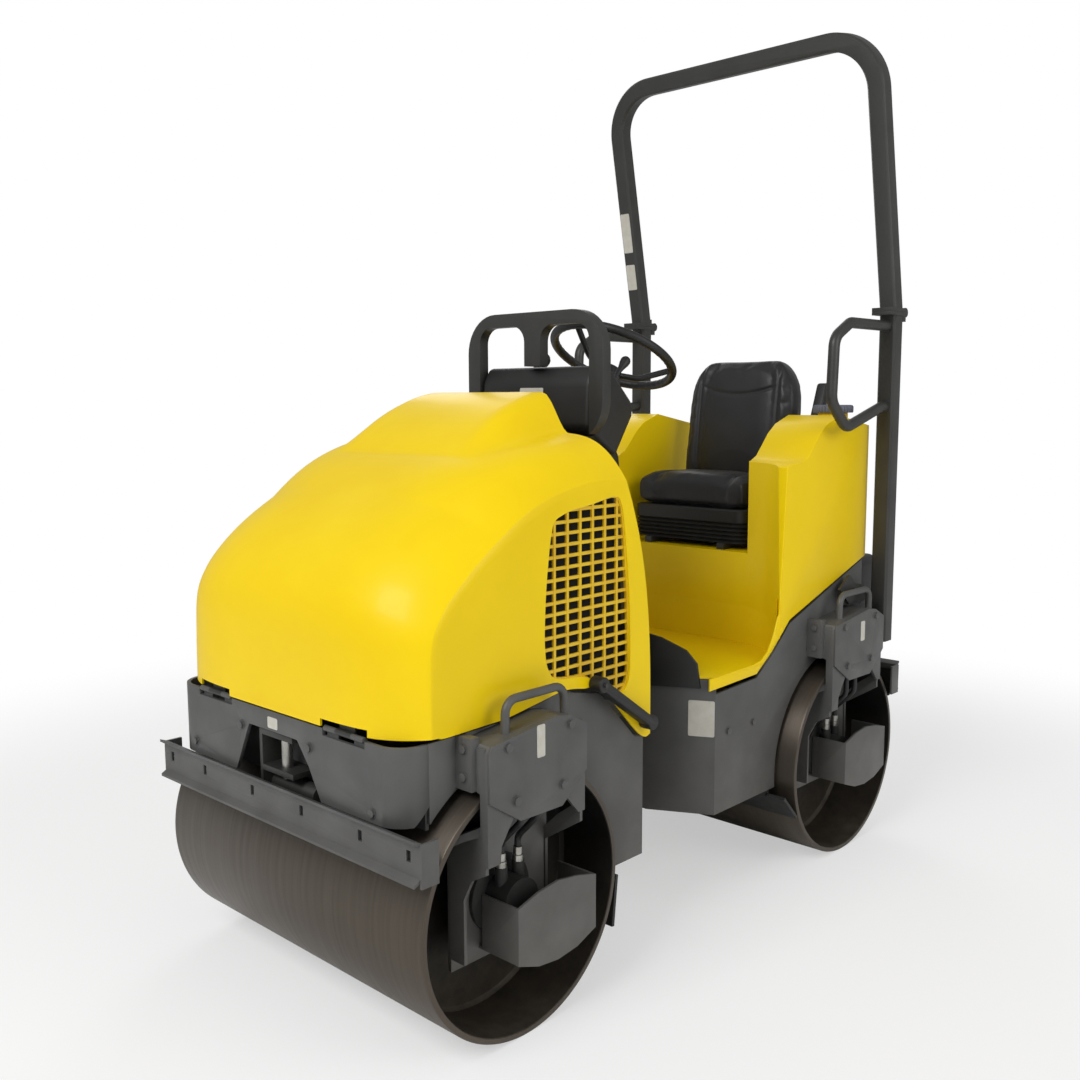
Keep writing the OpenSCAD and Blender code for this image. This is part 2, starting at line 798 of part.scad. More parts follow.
module guard(lift) {
    y_ends = [guard_at.x, guard_at.x + guard_size.x - cover_t];
    wall_x = motor_face() + motor_flange_t + over;
    along_x(leg_outer(), leg_x)
        polygon(laid(guard_shares, guard_at, guard_size));
    difference() {
        along_x(leg_inner(), leg_outer())
            polygon(ribbon(laid(guard_foot_shares, guard_at, guard_size), cover_t));
        rod_x(motor_flange_r + lug_gap, motor_face(), wall_x, 0, -lift);
    }
    for (y = y_ends)
        block([wall_x, y, guard_at.y + guard_foot_share * guard_size.y],
            [leg_outer(), y + cover_t, guard_at.y + guard_wall_share * guard_size.y]);
}

module at_axle(axle_y, lift) {
    translate([0, axle_y, drum_r + lift])
        children();
}

// The right leg carries the drum on a stub, the left one through its motor
module right_leg(axle_y, lift) {
    face = motor_face();
    mirror([1, 0, 0])
        at_axle(axle_y, lift) {
            leg(lift);
            rod_x(stub_r, drum_w / 2 - drum_recess - stub_len, face, 0, -lift);
            rod_x(motor_flange_r, face, face + motor_flange_t, 0, -lift);
            rod_x(motor_r, face, face + motor_len, 0, -lift);
        }
}

module front_leg_left() {
    color(frame_grey)
        at_axle(front_y, 0)
            leg(0);
}

module front_leg_right() {
    color(frame_grey)
        right_leg(front_y, 0);
}

module rear_leg_left() {
    color(frame_grey)
        at_axle(rear_y, rear_leg_lift)
            leg(rear_leg_lift);
}

module rear_leg_right() {
    color(frame_grey)
        right_leg(rear_y, rear_leg_lift);
}

module leg_covers(axle_y, lift) {
    color(frame_grey)
        both_sides()
            at_axle(axle_y, lift)
                difference() {
                    along_x(leg_outer(), leg_x)
                        polygon(laid(leg_cover_shares, leg_cover_at, leg_cover_size));
                    for (p = laid(bolt_shares, leg_cover_at, leg_cover_size))
                        rod_x(bolt_hole_r, leg_outer() - over, leg_x + over, p.x, p.y);
                }
}

module front_leg_covers() {
    leg_covers(front_y, 0);
}

module rear_leg_covers() {
    leg_covers(rear_y, rear_leg_lift);
}

module drive_motor(axle_y) {
    face = motor_face();
    color(black)
        at_axle(axle_y, 0) {
            rod_x(stub_r, drum_w / 2 - drum_recess - stub_len, face, 0, 0);
            rod_x(motor_flange_r, face, face + motor_flange_t, 0, 0);
            rod_x(motor_r, face, face + motor_len, 0, 0);
            for (s = [-1, 1])
                rod_z(motor_port_r, 0, motor_r + motor_port_len, face + motor_len / 2, s * motor_r / 2);
        }
}

module front_drive_motor() {
    drive_motor(front_y);
}

module rear_drive_motor() {
    drive_motor(rear_y);
}

// Two hoses from the motor over the drum's rim to the side plate
module hose_pair(axle_y) {
    x0 = motor_face() + motor_len / 2;
    x1 = (drum_w / 2 + leg_outer() - leg_plate) / 2;
    z0 = motor_r + motor_port_len;
    for (s = [-1, 1])
        at_axle(axle_y, 0) {
            y = s * motor_r / 2;
            color(silver)
                rod_z(fitting_r, z0, z0 + fitting_len, x0, y);
            color(black)
                pipe([[x0, y, z0 + fitting_len], [x0, y, z0 + hose_rise[0]], [x1, y, z0 + hose_rise[1]],
                    [x1, y, drum_r + 2 * hose_bend], [half_w + leg_plate + gap, y, drum_r + 2 * hose_bend]],
                    hose_r, hose_bend, [0, 1, 0]);
        }
}

module front_hoses() {
    hose_pair(front_y);
}

module rear_hoses() {
    hose_pair(rear_y);
}

// Scrapers: modelled for the front drum and mirrored for the rear one
module scraper_beam() {
    half = drum_w / 2 + beam_end;
    slot_z = beam_z[0] + (beam_z[1] - beam_z[0] - beam_slot.y) * beam_slot_share;
    front = beam_y - beam_t;
    color(frame_grey) {
        difference() {
            along_x(-half, half)
                polygon([[beam_y, beam_z[0]], [beam_y - lip, beam_z[0] - lip_rise],
                    [beam_y - lip, beam_z[0] - lip_rise + beam_t], [front, beam_z[0] + beam_t],
                    [front, beam_z[1]], [beam_y - lip, beam_z[1] + lip_rise],
                    [beam_y - lip, beam_z[1] + lip_rise + beam_t], [beam_y, beam_z[1] + beam_t]]);
            for (x = beam_slot_at)
                block([x - beam_slot.x / 2, front - over, slot_z], [x + beam_slot.x / 2, beam_y + over,
                    slot_z + beam_slot.y]);
        }
        both_sides() {
            block([half, front, beam_z[1] + beam_t - end_plate.z], [half + end_plate.x,
                front + end_plate.y, beam_z[1] + beam_t]);
            block([beam_arm_x - beam_arm.x / 2, beam_y, nose_plate_z],
                [beam_arm_x + beam_arm.x / 2, nose_plate_y, nose_plate_z + beam_arm.y]);
        }
    }
}

module front_scraper_beam() {
    scraper_beam();
}

module rear_scraper_beam() {
    mirror([0, 1, 0])
        scraper_beam();
}

// Distance from an axle to a scraper at height z
function drum_reach(z) = sqrt(pow(drum_r + blade_gap, 2) - pow(drum_r - z, 2));

module scraper_blade() {
    tip_y = front_y - drum_reach(blade_z[0]);
    color(black)
        along_x(-drum_w / 2, drum_w / 2)
            polygon([[beam_y, blade_z[1]], [beam_y, beam_z[0] - lip_rise], [tip_y - blade_t, blade_z[0]],
                [tip_y, blade_z[0]], [beam_y + blade_t, beam_z[0]], [beam_y + blade_t, blade_z[1]]]);
}

module front_scraper_blade() {
    scraper_blade();
}

module rear_scraper_blade() {
    mirror([0, 1, 0])
        scraper_blade();
}

// Inner scraper: a strip on hangers
module inner_scraper(tip, heel, foot, t) {
    inner = half_w - plate;
    color(black) {
        along_x(-drum_w / 2, drum_w / 2)
            polygon(ribbon([heel, tip], t));
        both_sides()
            along_x(inner - hanger_t, inner)
                polygon(foot);
    }
}

module front_inner_scraper() {
    inner_scraper([front_y + drum_reach(front_inner_z), front_inner_z], front_inner_heel,
        front_inner_foot, -inner_blade_t);
}

module rear_inner_scraper() {
    inner_scraper([rear_y - drum_reach(rear_inner_z), rear_inner_z], rear_inner_heel, rear_inner_foot,
        -inner_blade_t);
}

// Drum: shell and two discs with bosses
module drum(axle_y) {
    disc_x = drum_w / 2 - drum_recess;
    color(steel)
        at_axle(axle_y, 0) {
            difference() {
                rod_x(drum_r, -drum_w / 2, drum_w / 2, 0, 0);
                rod_x(drum_r - drum_shell, -drum_w / 2 - over, drum_w / 2 + over, 0, 0);
            }
            both_sides()
                difference() {
                    union() {
                        rod_x(drum_r - drum_shell, disc_x - disc_t, disc_x, 0, 0);
                        rod_x(boss_r, disc_x - boss_len, disc_x, 0, 0);
                    }
                    rod_x(stub_r + run, disc_x - stub_len - gap, disc_x + over, 0, 0);
                    rod_x(journal_r + run, disc_x - boss_len - over, disc_x, 0, 0);
                }
        }
}

module front_drum() {
    drum(front_y);
}

module rear_drum() {
    drum(rear_y);
}

module exciter_shaft() {
    inner = drum_w / 2 - drum_recess - boss_len;
    color(dark_grey)
        at_axle(front_y, 0) {
            rod_x(journal_r, -inner - journal_len, inner + journal_len, 0, 0);
            rod_x(exciter_r, -exciter_arm / 2, exciter_arm / 2, 0, -exciter_off);
        }
}

// Engine bay, on the front frame's deck
bay_z = deck_z + plate;

module engine_block() {
    at = [engine_at.x, engine_at.y, bay_z];
    color(dark_grey) {
        centred(sump_size, at + [0, 0, sump_size.z / 2]);
        centred(engine_size, at + [0, 0, sump_size.z + engine_size.z / 2]);
        centred(head_size, at + [0, 0, sump_size.z + engine_size.z + head_size.z / 2]);
    }
    color(silver)
        rod_y(fan_shaft_r, at.y + engine_size.y / 2 - over, fan_at.y + fan_t, fan_at.x, fan_at.z);
}

module engine_fan() {
    color(black)
        difference() {
            translate(fan_at) {
                rotate([-90, 0, 0])
                    cylinder(r = fan_hub_r, h = fan_t);
                for (k = [0:fan_blades - 1])
                    rotate([0, k * 360 / fan_blades, 0])
                        translate([0, fan_t / 2, (fan_hub_r + fan_r) / 2])
                            rotate([0, 0, fan_blade_pitch])
                                cube([2 * fan_hub_r * fan_blade_share, over, fan_r - fan_hub_r + over],
                                    center = true);
            }
            rod_y(fan_shaft_r + run, fan_at.y - over, fan_at.y + fan_t + over, fan_at.x, fan_at.z);
        }
}

module radiator() {
    top = bay_z + radiator_size.z;
    cap_z = top + radiator_tank;
    color(black) {
        centred(radiator_size, [0, radiator_y, bay_z + radiator_size.z / 2]);
        centred([radiator_size.x, radiator_tank, radiator_tank], [0, radiator_y, top + radiator_tank / 2]);
    }
    color(silver)
        rod_z(radiator_tank / 2, cap_z, cap_z + radiator_tank / 2, -radiator_size.x / 4, radiator_y);
}

module fuel_tank() {
    color(black) {
        along_z(bay_z, bay_z + tank_size.z)
            translate(tank_at)
                round_rect([tank_size.x, tank_size.y], lip);
        rod_z(tank_neck_r, bay_z + tank_size.z, bay_z + tank_size.z + tank_neck_r, tank_at.x, tank_at.y);
    }
}

module muffler() {
    x = muffler_at.x;
    z = muffler_at.z;
    color(steel) {
        rod_y(muffler_r, muffler_at.y - muffler_len / 2, muffler_at.y + muffler_len / 2, x, z);
        rod_x(exhaust_r, engine_at.x + engine_size.x / 2, x, muffler_at.y, z);
        rod_z(exhaust_r, bay_z, z, x, muffler_at.y - muffler_len / 3);
    }
}

module hydraulic_pump() {
    y1 = engine_at.y - engine_size.y / 2;
    color(silver) {
        rod_y(pump_r, y1 - pump_len, y1, pump_at.x, pump_at.y);
        rod_y(pump_flange_r, y1 - pump_flange_t, y1, pump_at.x, pump_at.y);
        rod_z(fitting_r, pump_at.y, pump_at.y + pump_r + fitting_len, pump_at.x, y1 - pump_len / 2);
    }
}

// Hood skin: one smooth sheet over the crown
function crown_power(t) = t < crown_share ? mix(crown_powers[0], crown_powers[1], t / crown_share)
    : mix(crown_powers[1], crown_powers[2], (t - crown_share) / (1 - crown_share));
function hood_top_at(t) = curve(laid(hood_top_shares, hood_box_at, hood_box_size), t);
function hood_crease_at(t) = curve(laid(hood_crease_shares, hood_box_at, hood_box_size), t);
function hood_foot_at(t) = curve(laid(hood_foot_shares, hood_box_at, hood_box_size), t);
function panel_at(y) =
    let (f = (y - hood_box_at.x) / hood_box_size.x)
    1 - pow(1 - clamped((f - panel_start_share) / (panel_end_share - panel_start_share)), panel_power);
function crease_half(t) = hood_half * (1 - hood_tumble_share * t * t);
function panel_edge(u) = 1 - eased(clamped((abs(u) - panel_edge_shares[0]) / (panel_edge_shares[1] -
    panel_edge_shares[0])));
function hood_top_point(u, t) =
    let (p = mix(hood_crease_at(t), hood_top_at(t), 1 - pow(abs(u), crown_power(t))))
    [u * crease_half(t), p.x, p.y + hood_panel_rise * panel_edge(u) * panel_at(p.x)];
function hood_side_point(s, v, t) =
    let (a = hood_crease_at(t), b = hood_foot_at(t), f = 1 - pow(1 - v, 3))
    [s * mix(crease_half(t), hood_half, f), mix(a.x, b.x, f), mix(a.y, b.y, v)];
function hood_point(c, t) = c[1] > 0 ? hood_side_point(c[0], c[1], t) : hood_top_point(c[0], t);
function thinned(p) =
    let (end = hood_box_at.x + hood_box_size.x, foot = hood_box_at.y)
    [p.x * (1 - moulding / hood_half), end + (p.y - end) * (1 - moulding / hood_box_size.x),
        foot + (p.z - foot) * (1 - moulding / hood_box_size.y)];

module hood_skin() {
    cols = concat([for (v = back(hood_side_shares)) [-1, v]],
        [for (u = back(hood_column_shares)) if (u > 0) [-u, 0]],
        [for (u = hood_column_shares) [u, 0]], [for (v = hood_side_shares) [1, v]]);
    n = len(cols);
    k = n * (hood_steps + 1);
    e = n * hood_steps;
    outer = [for (i = [0:hood_steps]) for (c = cols) hood_point(c, i / hood_steps)];
    inner = [for (p = outer) thinned(p)];
    skin = flat([for (i = [0:hood_steps - 1]) for (j = [0:n - 2])
        two(i * n + j, (i + 1) * n + j, (i + 1) * n + j + 1, i * n + j + 1)]);
    lining = [for (f = skin) [f[0] + k, f[2] + k, f[1] + k]];
    ends = flat([for (j = [0:n - 2])
        concat(two(j, j + 1, k + j + 1, k + j), two(e + j, e + k + j, e + k + j + 1, e + j + 1))]);
    sides = flat([for (i = [0:hood_steps - 1])
        concat(two(i * n, i * n + k, (i + 1) * n + k, (i + 1) * n),
            two(i * n + n - 1, (i + 1) * n + n - 1, (i + 1) * n + n - 1 + k, i * n + n - 1 + k))]);
    polyhedron(concat(outer, inner), concat(skin, lining, ends, sides), convexity = 8);
}

module hood() {
    color(yellow)
        difference() {
            hood_skin();
            along_x(-hood_half - over, hood_half + over)
                polygon(laid(grille_shares, grille_at, grille_size));
            both_sides()
                block([notch_x - notch_w / 2, apron_y - over, apron_z[1]],
                    [notch_x + notch_w / 2, apron_y + moulding + notch_depth,
                        apron_z[1] + moulding + notch_h]);
        }
}

// Grilles: a lattice behind each opening of the hood's sides
grille_x = hood_half * (1 - hood_tumble_share) - moulding - gap;

module hood_grilles() {
    outline = laid(grille_shares, grille_at, grille_size);
    middle = grille_at + grille_size / 2;
    grown = [for (p = outline) p + unit(p - middle) * grille_lap];
    color(yellow)
        both_sides()
            difference() {
                along_x(grille_x - grille_t, grille_x)
                    polygon(grown);
                for (i = [0:grille_columns - 1], j = [0:grille_rows - 1])
                    grille_cell(i, j);
            }
}

module grille_cell(i, j) {
    cell = [grille_size.x / grille_columns, grille_size.y / grille_rows];
    along_x(grille_x - grille_t - over, grille_x + over)
        intersection() {
            translate([grille_at.x + i * cell.x + grille_bar / 2,
                grille_at.y + j * cell.y + grille_bar / 2])
                square([cell.x - grille_bar, cell.y - grille_bar]);
            polygon(laid(grille_shares, grille_at, grille_size));
        }
}

// Moving halves of the hood's hinges and the studs of its latches
module hood_fittings() {
    knuckle = (1 - 2 * hinge_share) * hinge_w / 2 - gap;
    y = apron_y + 2 * moulding + 3 * gap;
    color(dark_grey)
        both_sides() {
            difference() {
                union() {
                    rod_x(hinge_r, notch_x - knuckle, notch_x + knuckle, hinge_y, hinge_z);
                    block([notch_x - knuckle, hinge_y, hinge_z], [notch_x + knuckle, y + leaf.x,
                        hinge_z + hinge_r]);
                    block([notch_x - knuckle, y, hinge_z], [notch_x + knuckle, y + leaf.x,
                        hinge_z + leaf.y]);
                }
                rod_x(hinge_pin_r + run, notch_x - knuckle - over, notch_x + knuckle + over, hinge_y,
                    hinge_z);
            }
            rod_x(latch_washer.x, hood_half + gap, hood_half + gap + latch_washer.y, latch_y[0],
                latch_z[0]);
            rod_x(latch_stud_r, hood_half + gap, hood_half + latch_stand + latch_pad_r, latch_y[0],
                latch_z[0]);
        }
}

// Rubber latch on a rear corner of the hood
module latch() {
    x = hood_half + latch_stand;
    a = [x, latch_y[0], latch_z[0]];
    b = [x, latch_y[1], latch_z[1]];
    color(black)
        difference() {
            union() {
                bar(a, b, latch_bar_r);
                rod_x(latch_pad_r, hood_half + gap + latch_washer.y + gap, x + latch_bar_r + over, a.y,
                    a.z);
                rod_x(latch_pad_r, hood_half + gap, x + latch_bar_r + over, b.y, b.z);
            }
            rod_x(latch_stud_r + run, hood_half, x + latch_pad_r + over, a.y, a.z);
        }
}

module left_latch() {
    latch();
}

module right_latch() {
    mirror([1, 0, 0])
        latch();
}

// Articulation
module articulation_pin() {
    top = lug_high_z + lug_t;
    color(silver) {
        rod_z(pivot_pin_r, lug_low_z, top, 0, pivot_y);
        rod_z(pin_head_r, top, top + pin_head_t, 0, pivot_y);
    }
}

// Centre block: sleeve, spindle and steering arm
module centre_block() {
    low = lug_low_z + lug_t + lug_gap;
    high = lug_high_z - lug_gap;
    arm_z = cyl_z + max(rod_r, cyl_eye_t / 2) + lug_gap;
    color(frame_grey) {
        difference() {
            union() {
                rod_z(sleeve_r, low, high, 0, pivot_y);
                rod_y(collar_r, pivot_y, nose_y - lug_gap, 0, spindle_z);
                rod_y(spindle_r, pivot_y, spindle_end_y, 0, spindle_z);
                block([0, pivot_y - cyl_eye_r, arm_z], [cyl_arm_x, pivot_y + cyl_eye_r, arm_z + arm_t]);
                rod_z(cyl_eye_r, arm_z, arm_z + arm_t, cyl_arm_x, pivot_y);
            }
            rod_z(pivot_pin_r + run, low - over, high + over, 0, pivot_y);
        }
        rod_z(cyl_pin_r, cyl_z - cyl_eye_t / 2 - lug_gap, arm_z + arm_t, cyl_arm_x, pivot_y);
    }
}

module steering_barrel() {
    start = cyl_front_y + cyl_pin_r + barrel_end_wall;
    end = cyl_front_y + barrel_len;
    color(dark_grey)
        difference() {
            union() {
                rod_z(cyl_eye_r, cyl_z - barrel_r, cyl_z + barrel_r, cyl_x, cyl_front_y);
                rod_y(barrel_r, cyl_front_y, end, cyl_x, cyl_z);
            }
            rod_z(cyl_pin_r + run, cyl_z - barrel_r - over, cyl_z + barrel_r + over, cyl_x, cyl_front_y);
            rod_y(rod_r + run, start, end + over, cyl_x, cyl_z);
        }
}

module steering_rod() {
    eye_r = cyl_pin_r + cyl_open + cyl_open_wall;
    color(silver)
        difference() {
            union() {
                rod_y(rod_r, cyl_front_y + barrel_len - barrel_hold, pivot_y, cyl_x, cyl_z);
                rod_z(eye_r, cyl_z - cyl_eye_t / 2, cyl_z + cyl_eye_t / 2, cyl_x, pivot_y);
            }
            rod_z(cyl_pin_r + cyl_open, cyl_z - cyl_eye_t, cyl_z + cyl_eye_t, cyl_x, pivot_y);
        }
}

// Rear frame
rear_deck_z = floor_z - floor_t - gap - plate;
nose_points = [[-half_w, rear_end_y], [-nose_half, nose_y], [nose_half, nose_y], [half_w, rear_end_y]];

module rear_chassis() {
    inner = half_w - plate;
    bracket_y = [rear_wall_y, -nose_plate_y];
    color(frame_grey) {
        difference() {
            union() {
                frame_side(rear_plate_shares, rear_plate_at, rear_plate_size, rear_y);
                along_z(rear_foot_z, rear_deck_z + plate)
                    polygon(ribbon(nose_points, plate));
                rod_y(spindle_r + housing_wall, nose_y, spindle_end_y, 0, spindle_z);
            }
            rod_y(spindle_r + run, nose_y - over, spindle_end_y + over, 0, spindle_z);
            both_sides()
                block([half_w - moulding - gap, nose_y, body_at.y - gap],
                    [half_w + over, rear_end_y + 3 * plate, floor_z]);
        }
        block([-inner, rear_y - drum_r, rear_deck_z], [inner, rear_wall_y, rear_deck_z + plate]);
        block([-inner, rear_wall_y - plate, rear_wall_foot_z], [inner, rear_wall_y, rear_cover_z[1]]);
        both_sides() {
            along_x(beam_arm_x - bracket_t / 2, beam_arm_x + bracket_t / 2)
                polygon(laid(bracket_shares, [bracket_y[0], nose_plate_z], [bracket_y[1] - bracket_y[0],
                    rear_deck_z - nose_plate_z]));
            block([inner - flange_size.x, rear_end_y + 2 * plate, rear_deck_z], [inner, rear_y - drum_r,
                rear_deck_z + plate]);
        }
    }
}

// Moulded body: floor, curved front wall and two fenders
module rear_body() {
    side = laid(body_side_shares, body_at, body_size);
    tops = laid(body_top_shares, body_at, body_size);
    end_y = body_at.x + body_size.x;
    wall_y = body_at.x + seat_wall_share * body_size.x;
    shoulder_z = body_at.y + shoulder_share * body_size.y;
    front = laid(front_wall_shares, [0, body_at.x], [half_w - moulding, body_size.x]);
    color(yellow)
        difference() {
            union() {
                both_sides() {
                    along_x(half_w - moulding, half_w)
                        polygon(side);
                    along_x(fender_in_x, half_w)
                        polygon(ribbon(back(tops), moulding));
                    along_x(fender_in_x, fender_in_x + moulding)
                        polygon(concat([[wall_y, seat_box_z - moulding]], [[wall_y, shoulder_z]],
                            [for (i = [1:len(tops) - 1]) tops[i]], [[end_y, seat_box_z - moulding]]));
                    along_x(fender_in_x, half_w)
                        polygon([[end_y - moulding, rear_back_z], [end_y, rear_back_z], [end_y, tops[4].y],
                            [end_y - moulding, tops[4].y]]);
                    intersection() {
                        along_z(seat_box_z, shoulder_z)
                            polygon(ribbon(front, moulding));
                        block([fender_in_x, 0, 0], [half_w, end_y, shoulder_z]);
                    }
                }
                rod_z(neck_r, neck_z[0], neck_z[1], cap_at.x, cap_at.y);
                along_z(floor_z - floor_t, floor_z)
                    polygon(concat(moved(nose_points, gap), [[half_w, wall_y + moulding],
                        [-half_w, wall_y + moulding]]));
                along_z(floor_z, seat_box_z)
                    polygon(ribbon(front, moulding));
                block([-fender_in_x, wall_y, seat_box_z - moulding], [fender_in_x, end_y, seat_box_z]);
                block([-fender_in_x, end_y - moulding, rear_back_z], [fender_in_x, end_y, seat_box_z]);
            }
            rod_z(plug_r + run, neck_z[0] - over, neck_z[1] + over, cap_at.x, cap_at.y);
            both_sides()
                along_x(half_w - plate - gap, half_w + over)
                    polygon([for (p = laid(rear_plate_shares, rear_plate_at, rear_plate_size)) p + [0, gap]]);
        }
}

module water_cap() {
    z = neck_z[1] + gap;
    color(cap_blue)
        translate([cap_at.x, cap_at.y, z]) {
            cylinder(r = cap_r - cap_rib_r, h = cap_h);
            translate([0, 0, -plug_h])
                cylinder(r = plug_r, h = plug_h);
            for (k = [0:cap_ribs - 1])
                rotate([0, 0, k * 360 / cap_ribs])
                    translate([cap_r - cap_rib_r, 0, 0])
                        cylinder(r = cap_rib_r, h = cap_h, $fn = cap_rib_sides);
        }
}

module kick_panel() {
    color(black)
        intersection() {
            along_z(kick_at.y, kick_at.y + kick_size.y)
                polygon(ribbon(moved(nose_points, -kick_t), kick_t));
            along_y(nose_y - rear_end_y, rear_end_y)
                polygon(laid(kick_shares, kick_at, kick_size));
        }
}

module rear_cover() {
    h = rear_cover_z[1] - rear_cover_z[0];
    color(black)
        translate([0, 0, rear_cover_z[0] + h / 2])
            difference() {
                along_y(rear_wall_y + gap, rear_cover_y)
                    round_rect([rear_cover_w, h], rear_cover_corner);
                along_y(rear_wall_y, rear_cover_y - moulding)
                    round_rect([rear_cover_w - 2 * moulding, h - 2 * moulding],
                        rear_cover_corner - moulding);
            }
}

module rear_bolts() {
    color(frame_grey)
        leg_bolts(rear_y, rear_leg_lift);
}

// Console: the dash is its sloping top
dash_from = console_at + [dash_from_share.x * console_size.x, dash_from_share.y * console_size.y];
dash_to = console_at + [dash_to_share.x * console_size.x, dash_to_share.y * console_size.y];
dash_tilt = atan2(dash_from.y - dash_to.y, dash_to.x - dash_from.x);

module on_dash(x) {
    translate([x, (dash_from.x + dash_to.x) / 2, (dash_from.y + dash_to.y) / 2])
        rotate([-dash_tilt, 0, 0])
            children();
}

module on_wheel_axis() {
    translate(wheel_at)
        rotate([-wheel_tilt, 0, 0])
            children();
}

module console() {
    color(black) {
        difference() {
            along_x(-console_w / 2, console_w / 2)
                polygon(laid(console_shares, console_at, console_size));
            for (x = [travel_x, throttle_x])
                on_dash(x)
                    cube([lever_slot.x, lever_slot.y, 2 * lever_slot.z], center = true);
            on_dash(key_x)
                translate([0, 0, -key_depth])
                    cylinder(r = key_r + run, h = 2 * key_depth);
        }
        for (x = [travel_x, throttle_x])
            on_dash(x)
                rod_x(lever_pin_r, -lever_pin_w / 2, lever_pin_w / 2, 0, -lever_drop);
    }
    color(dark_grey)
        difference() {
            union() {
                along_x(-column_w / 2, column_w / 2)
                    polygon(laid(column_shares, column_at, column_size));
                on_wheel_axis()
                    translate([0, 0, -tube_run[1]])
                        cylinder(r = tube_r, h = tube_run[1] - tube_run[0]);
            }
            on_wheel_axis()
                translate([0, 0, -shaft_end - over])
                    cylinder(r = shaft_r + run, h = shaft_end);
        }
}

// Frame round the console: two windows over it and a bar under it
module console_hoop() {
    mid_z = hoop_z + hoop_size.y / 2;
    top = hoop_z + hoop_size.y;
    pod_top = console_at.y + console_size.y + gap;
    in_x = hoop_size.x / 2 - hoop_bar.x;
    pod_slope = console_shares[0].y * console_size.y / (console_shares[6].x * console_size.x);
    pod_low = console_at.y + console_shares[0].y * console_size.y - hoop_t * pod_slope - gap;
    color(dark_grey)
        along_y(console_at.x, console_at.x + hoop_t)
            difference() {
                union() {
                    translate([0, mid_z])
                        round_rect(hoop_size, hoop_corner);
                    translate([0, hoop_z])
                        square([hoop_size.x - 2 * hoop_corner, 2 * hoop_foot], center = true);
                }
                translate([-in_x, pod_low])
                    square([2 * in_x, pod_top - pod_low]);
                for (s = [-1, 1])
                    translate([s * (in_x + hoop_post / 2) / 2, (pod_top + top - hoop_bar.y) / 2])
                        square([in_x - hoop_post / 2, top - hoop_bar.y - pod_top + over], center = true);
            }
}

module steering_wheel() {
    color(black)
        on_wheel_axis() {
            rotate_extrude($fn = 96)
                translate([wheel_r, 0])
                    circle(wheel_rim_r);
            difference() {
                translate([0, 0, -wheel_hub_drop])
                    cylinder(r = wheel_hub_r, h = wheel_hub_h);
                translate([0, 0, -wheel_hub_drop + wheel_hub_h - horn_h])
                    cylinder(r = horn_r + run, h = horn_h + over);
            }
            for (k = [0:spokes - 1])
                rotate([0, 0, (k * 360 + 90) / spokes])
                    bar([wheel_hub_r - spoke_r, 0, -wheel_hub_drop + wheel_hub_h / 2], [wheel_r, 0, 0],
                        spoke_r);
            translate([0, 0, -shaft_end])
                cylinder(r = shaft_r, h = shaft_end - wheel_hub_drop);
        }
}

module horn_button() {
    color(steel)
        on_wheel_axis()
            translate([0, 0, -wheel_hub_drop + wheel_hub_h - horn_h + horn_stand])
                cylinder(r = horn_r, h = horn_h);
}

module ignition_key() {
    color(silver)
        on_dash(key_x) {
            translate([0, 0, gap - key_depth])
                cylinder(r = key_r, h = 2 * key_depth);
            centred(key_bow, [0, 0, key_depth + key_bow.z / 2]);
        }
}

module lever(x, length, knob_r) {
    on_dash(x) {
        difference() {
            union() {
                rod_x(lever_hub_r, -lever_w / 2, lever_w / 2, 0, -lever_drop);
                rod_z(lever_r, -lever_drop, length, 0, 0);
            }
            rod_x(lever_pin_r + run, -lever_w, lever_w, 0, -lever_drop);
        }
        translate([0, 0, length])
            sphere(knob_r);
    }
}

module travel_lever() {
    color(black)
        lever(travel_x, travel_len, travel_knob_r);
}

module throttle_lever() {
    color(black)
        lever(throttle_x, throttle_len, throttle_knob_r);
}

// Seat
pan_z = seat_box_z + rail_size.z + gap;
cushion_z = pan_z + pan_h + gap;

module seat_rails() {
    color(dark_grey)
        both_sides()
            centred(rail_size, [rail_x, (seat_y[0] + seat_y[1]) / 2, seat_box_z + rail_size.z / 2]);
}

module seat_pan() {
    color(black) {
        difference() {
            block([-seat_half, seat_y[0], pan_z], [seat_half, seat_y[1], pan_z + pan_h]);
            block([-seat_half + pan_wall, seat_y[0] + pan_wall, pan_z - over],
                [seat_half - pan_wall, seat_y[1] - pan_wall, pan_z + pan_h - pan_wall]);
        }
        translate([0, bracket_y(), cushion_z])
            rotate([-back_lean, 0, 0])
                centred([bracket_w, bracket_depth, bracket_h], [0, bracket_depth / 2,
                    bracket_h / 2 - 2 * gap]);
    }
}

// Foot of the backrest's rear face
function bracket_y() = seat_y[0] + cushion_size.y + back_size.z * cos(back_lean) + 2 * gap
    - (back_z - back_size.z * sin(back_lean) - cushion_z) * tan(back_lean);

// A pad has a crown, two channels and bolsters
function pad_edge(u) = pow(1 - pow(abs(u), pad_power), 1 / pad_power);
function channel(u) = exp(-pow((abs(u) - channel_share) / channel_width_share, 2));
function pad_x(u, v, size, narrow) =
    u * size.x / 2 * (1 - side_pull_share * (1 - v * v) - corner_pull_share * pow(abs(u * v), pad_power)
        - narrow * pow(max(v, 0), 3));
function pad_y(u, v, size) =
    v * size.y / 2 * (1 - side_pull_share * (1 - u * u) - corner_pull_share * pow(abs(u * v), pad_power));
function pad_top(u, v, size, crown, bolster) =
    pad_edge(u) * pad_edge(v) * (size.z / 2 + crown * (1 - u * u) * (1 - v * v) - channel_depth * channel(u)
        + bolster * eased(clamped((abs(u) - channel_share) / (1 - channel_share))) - bolster);

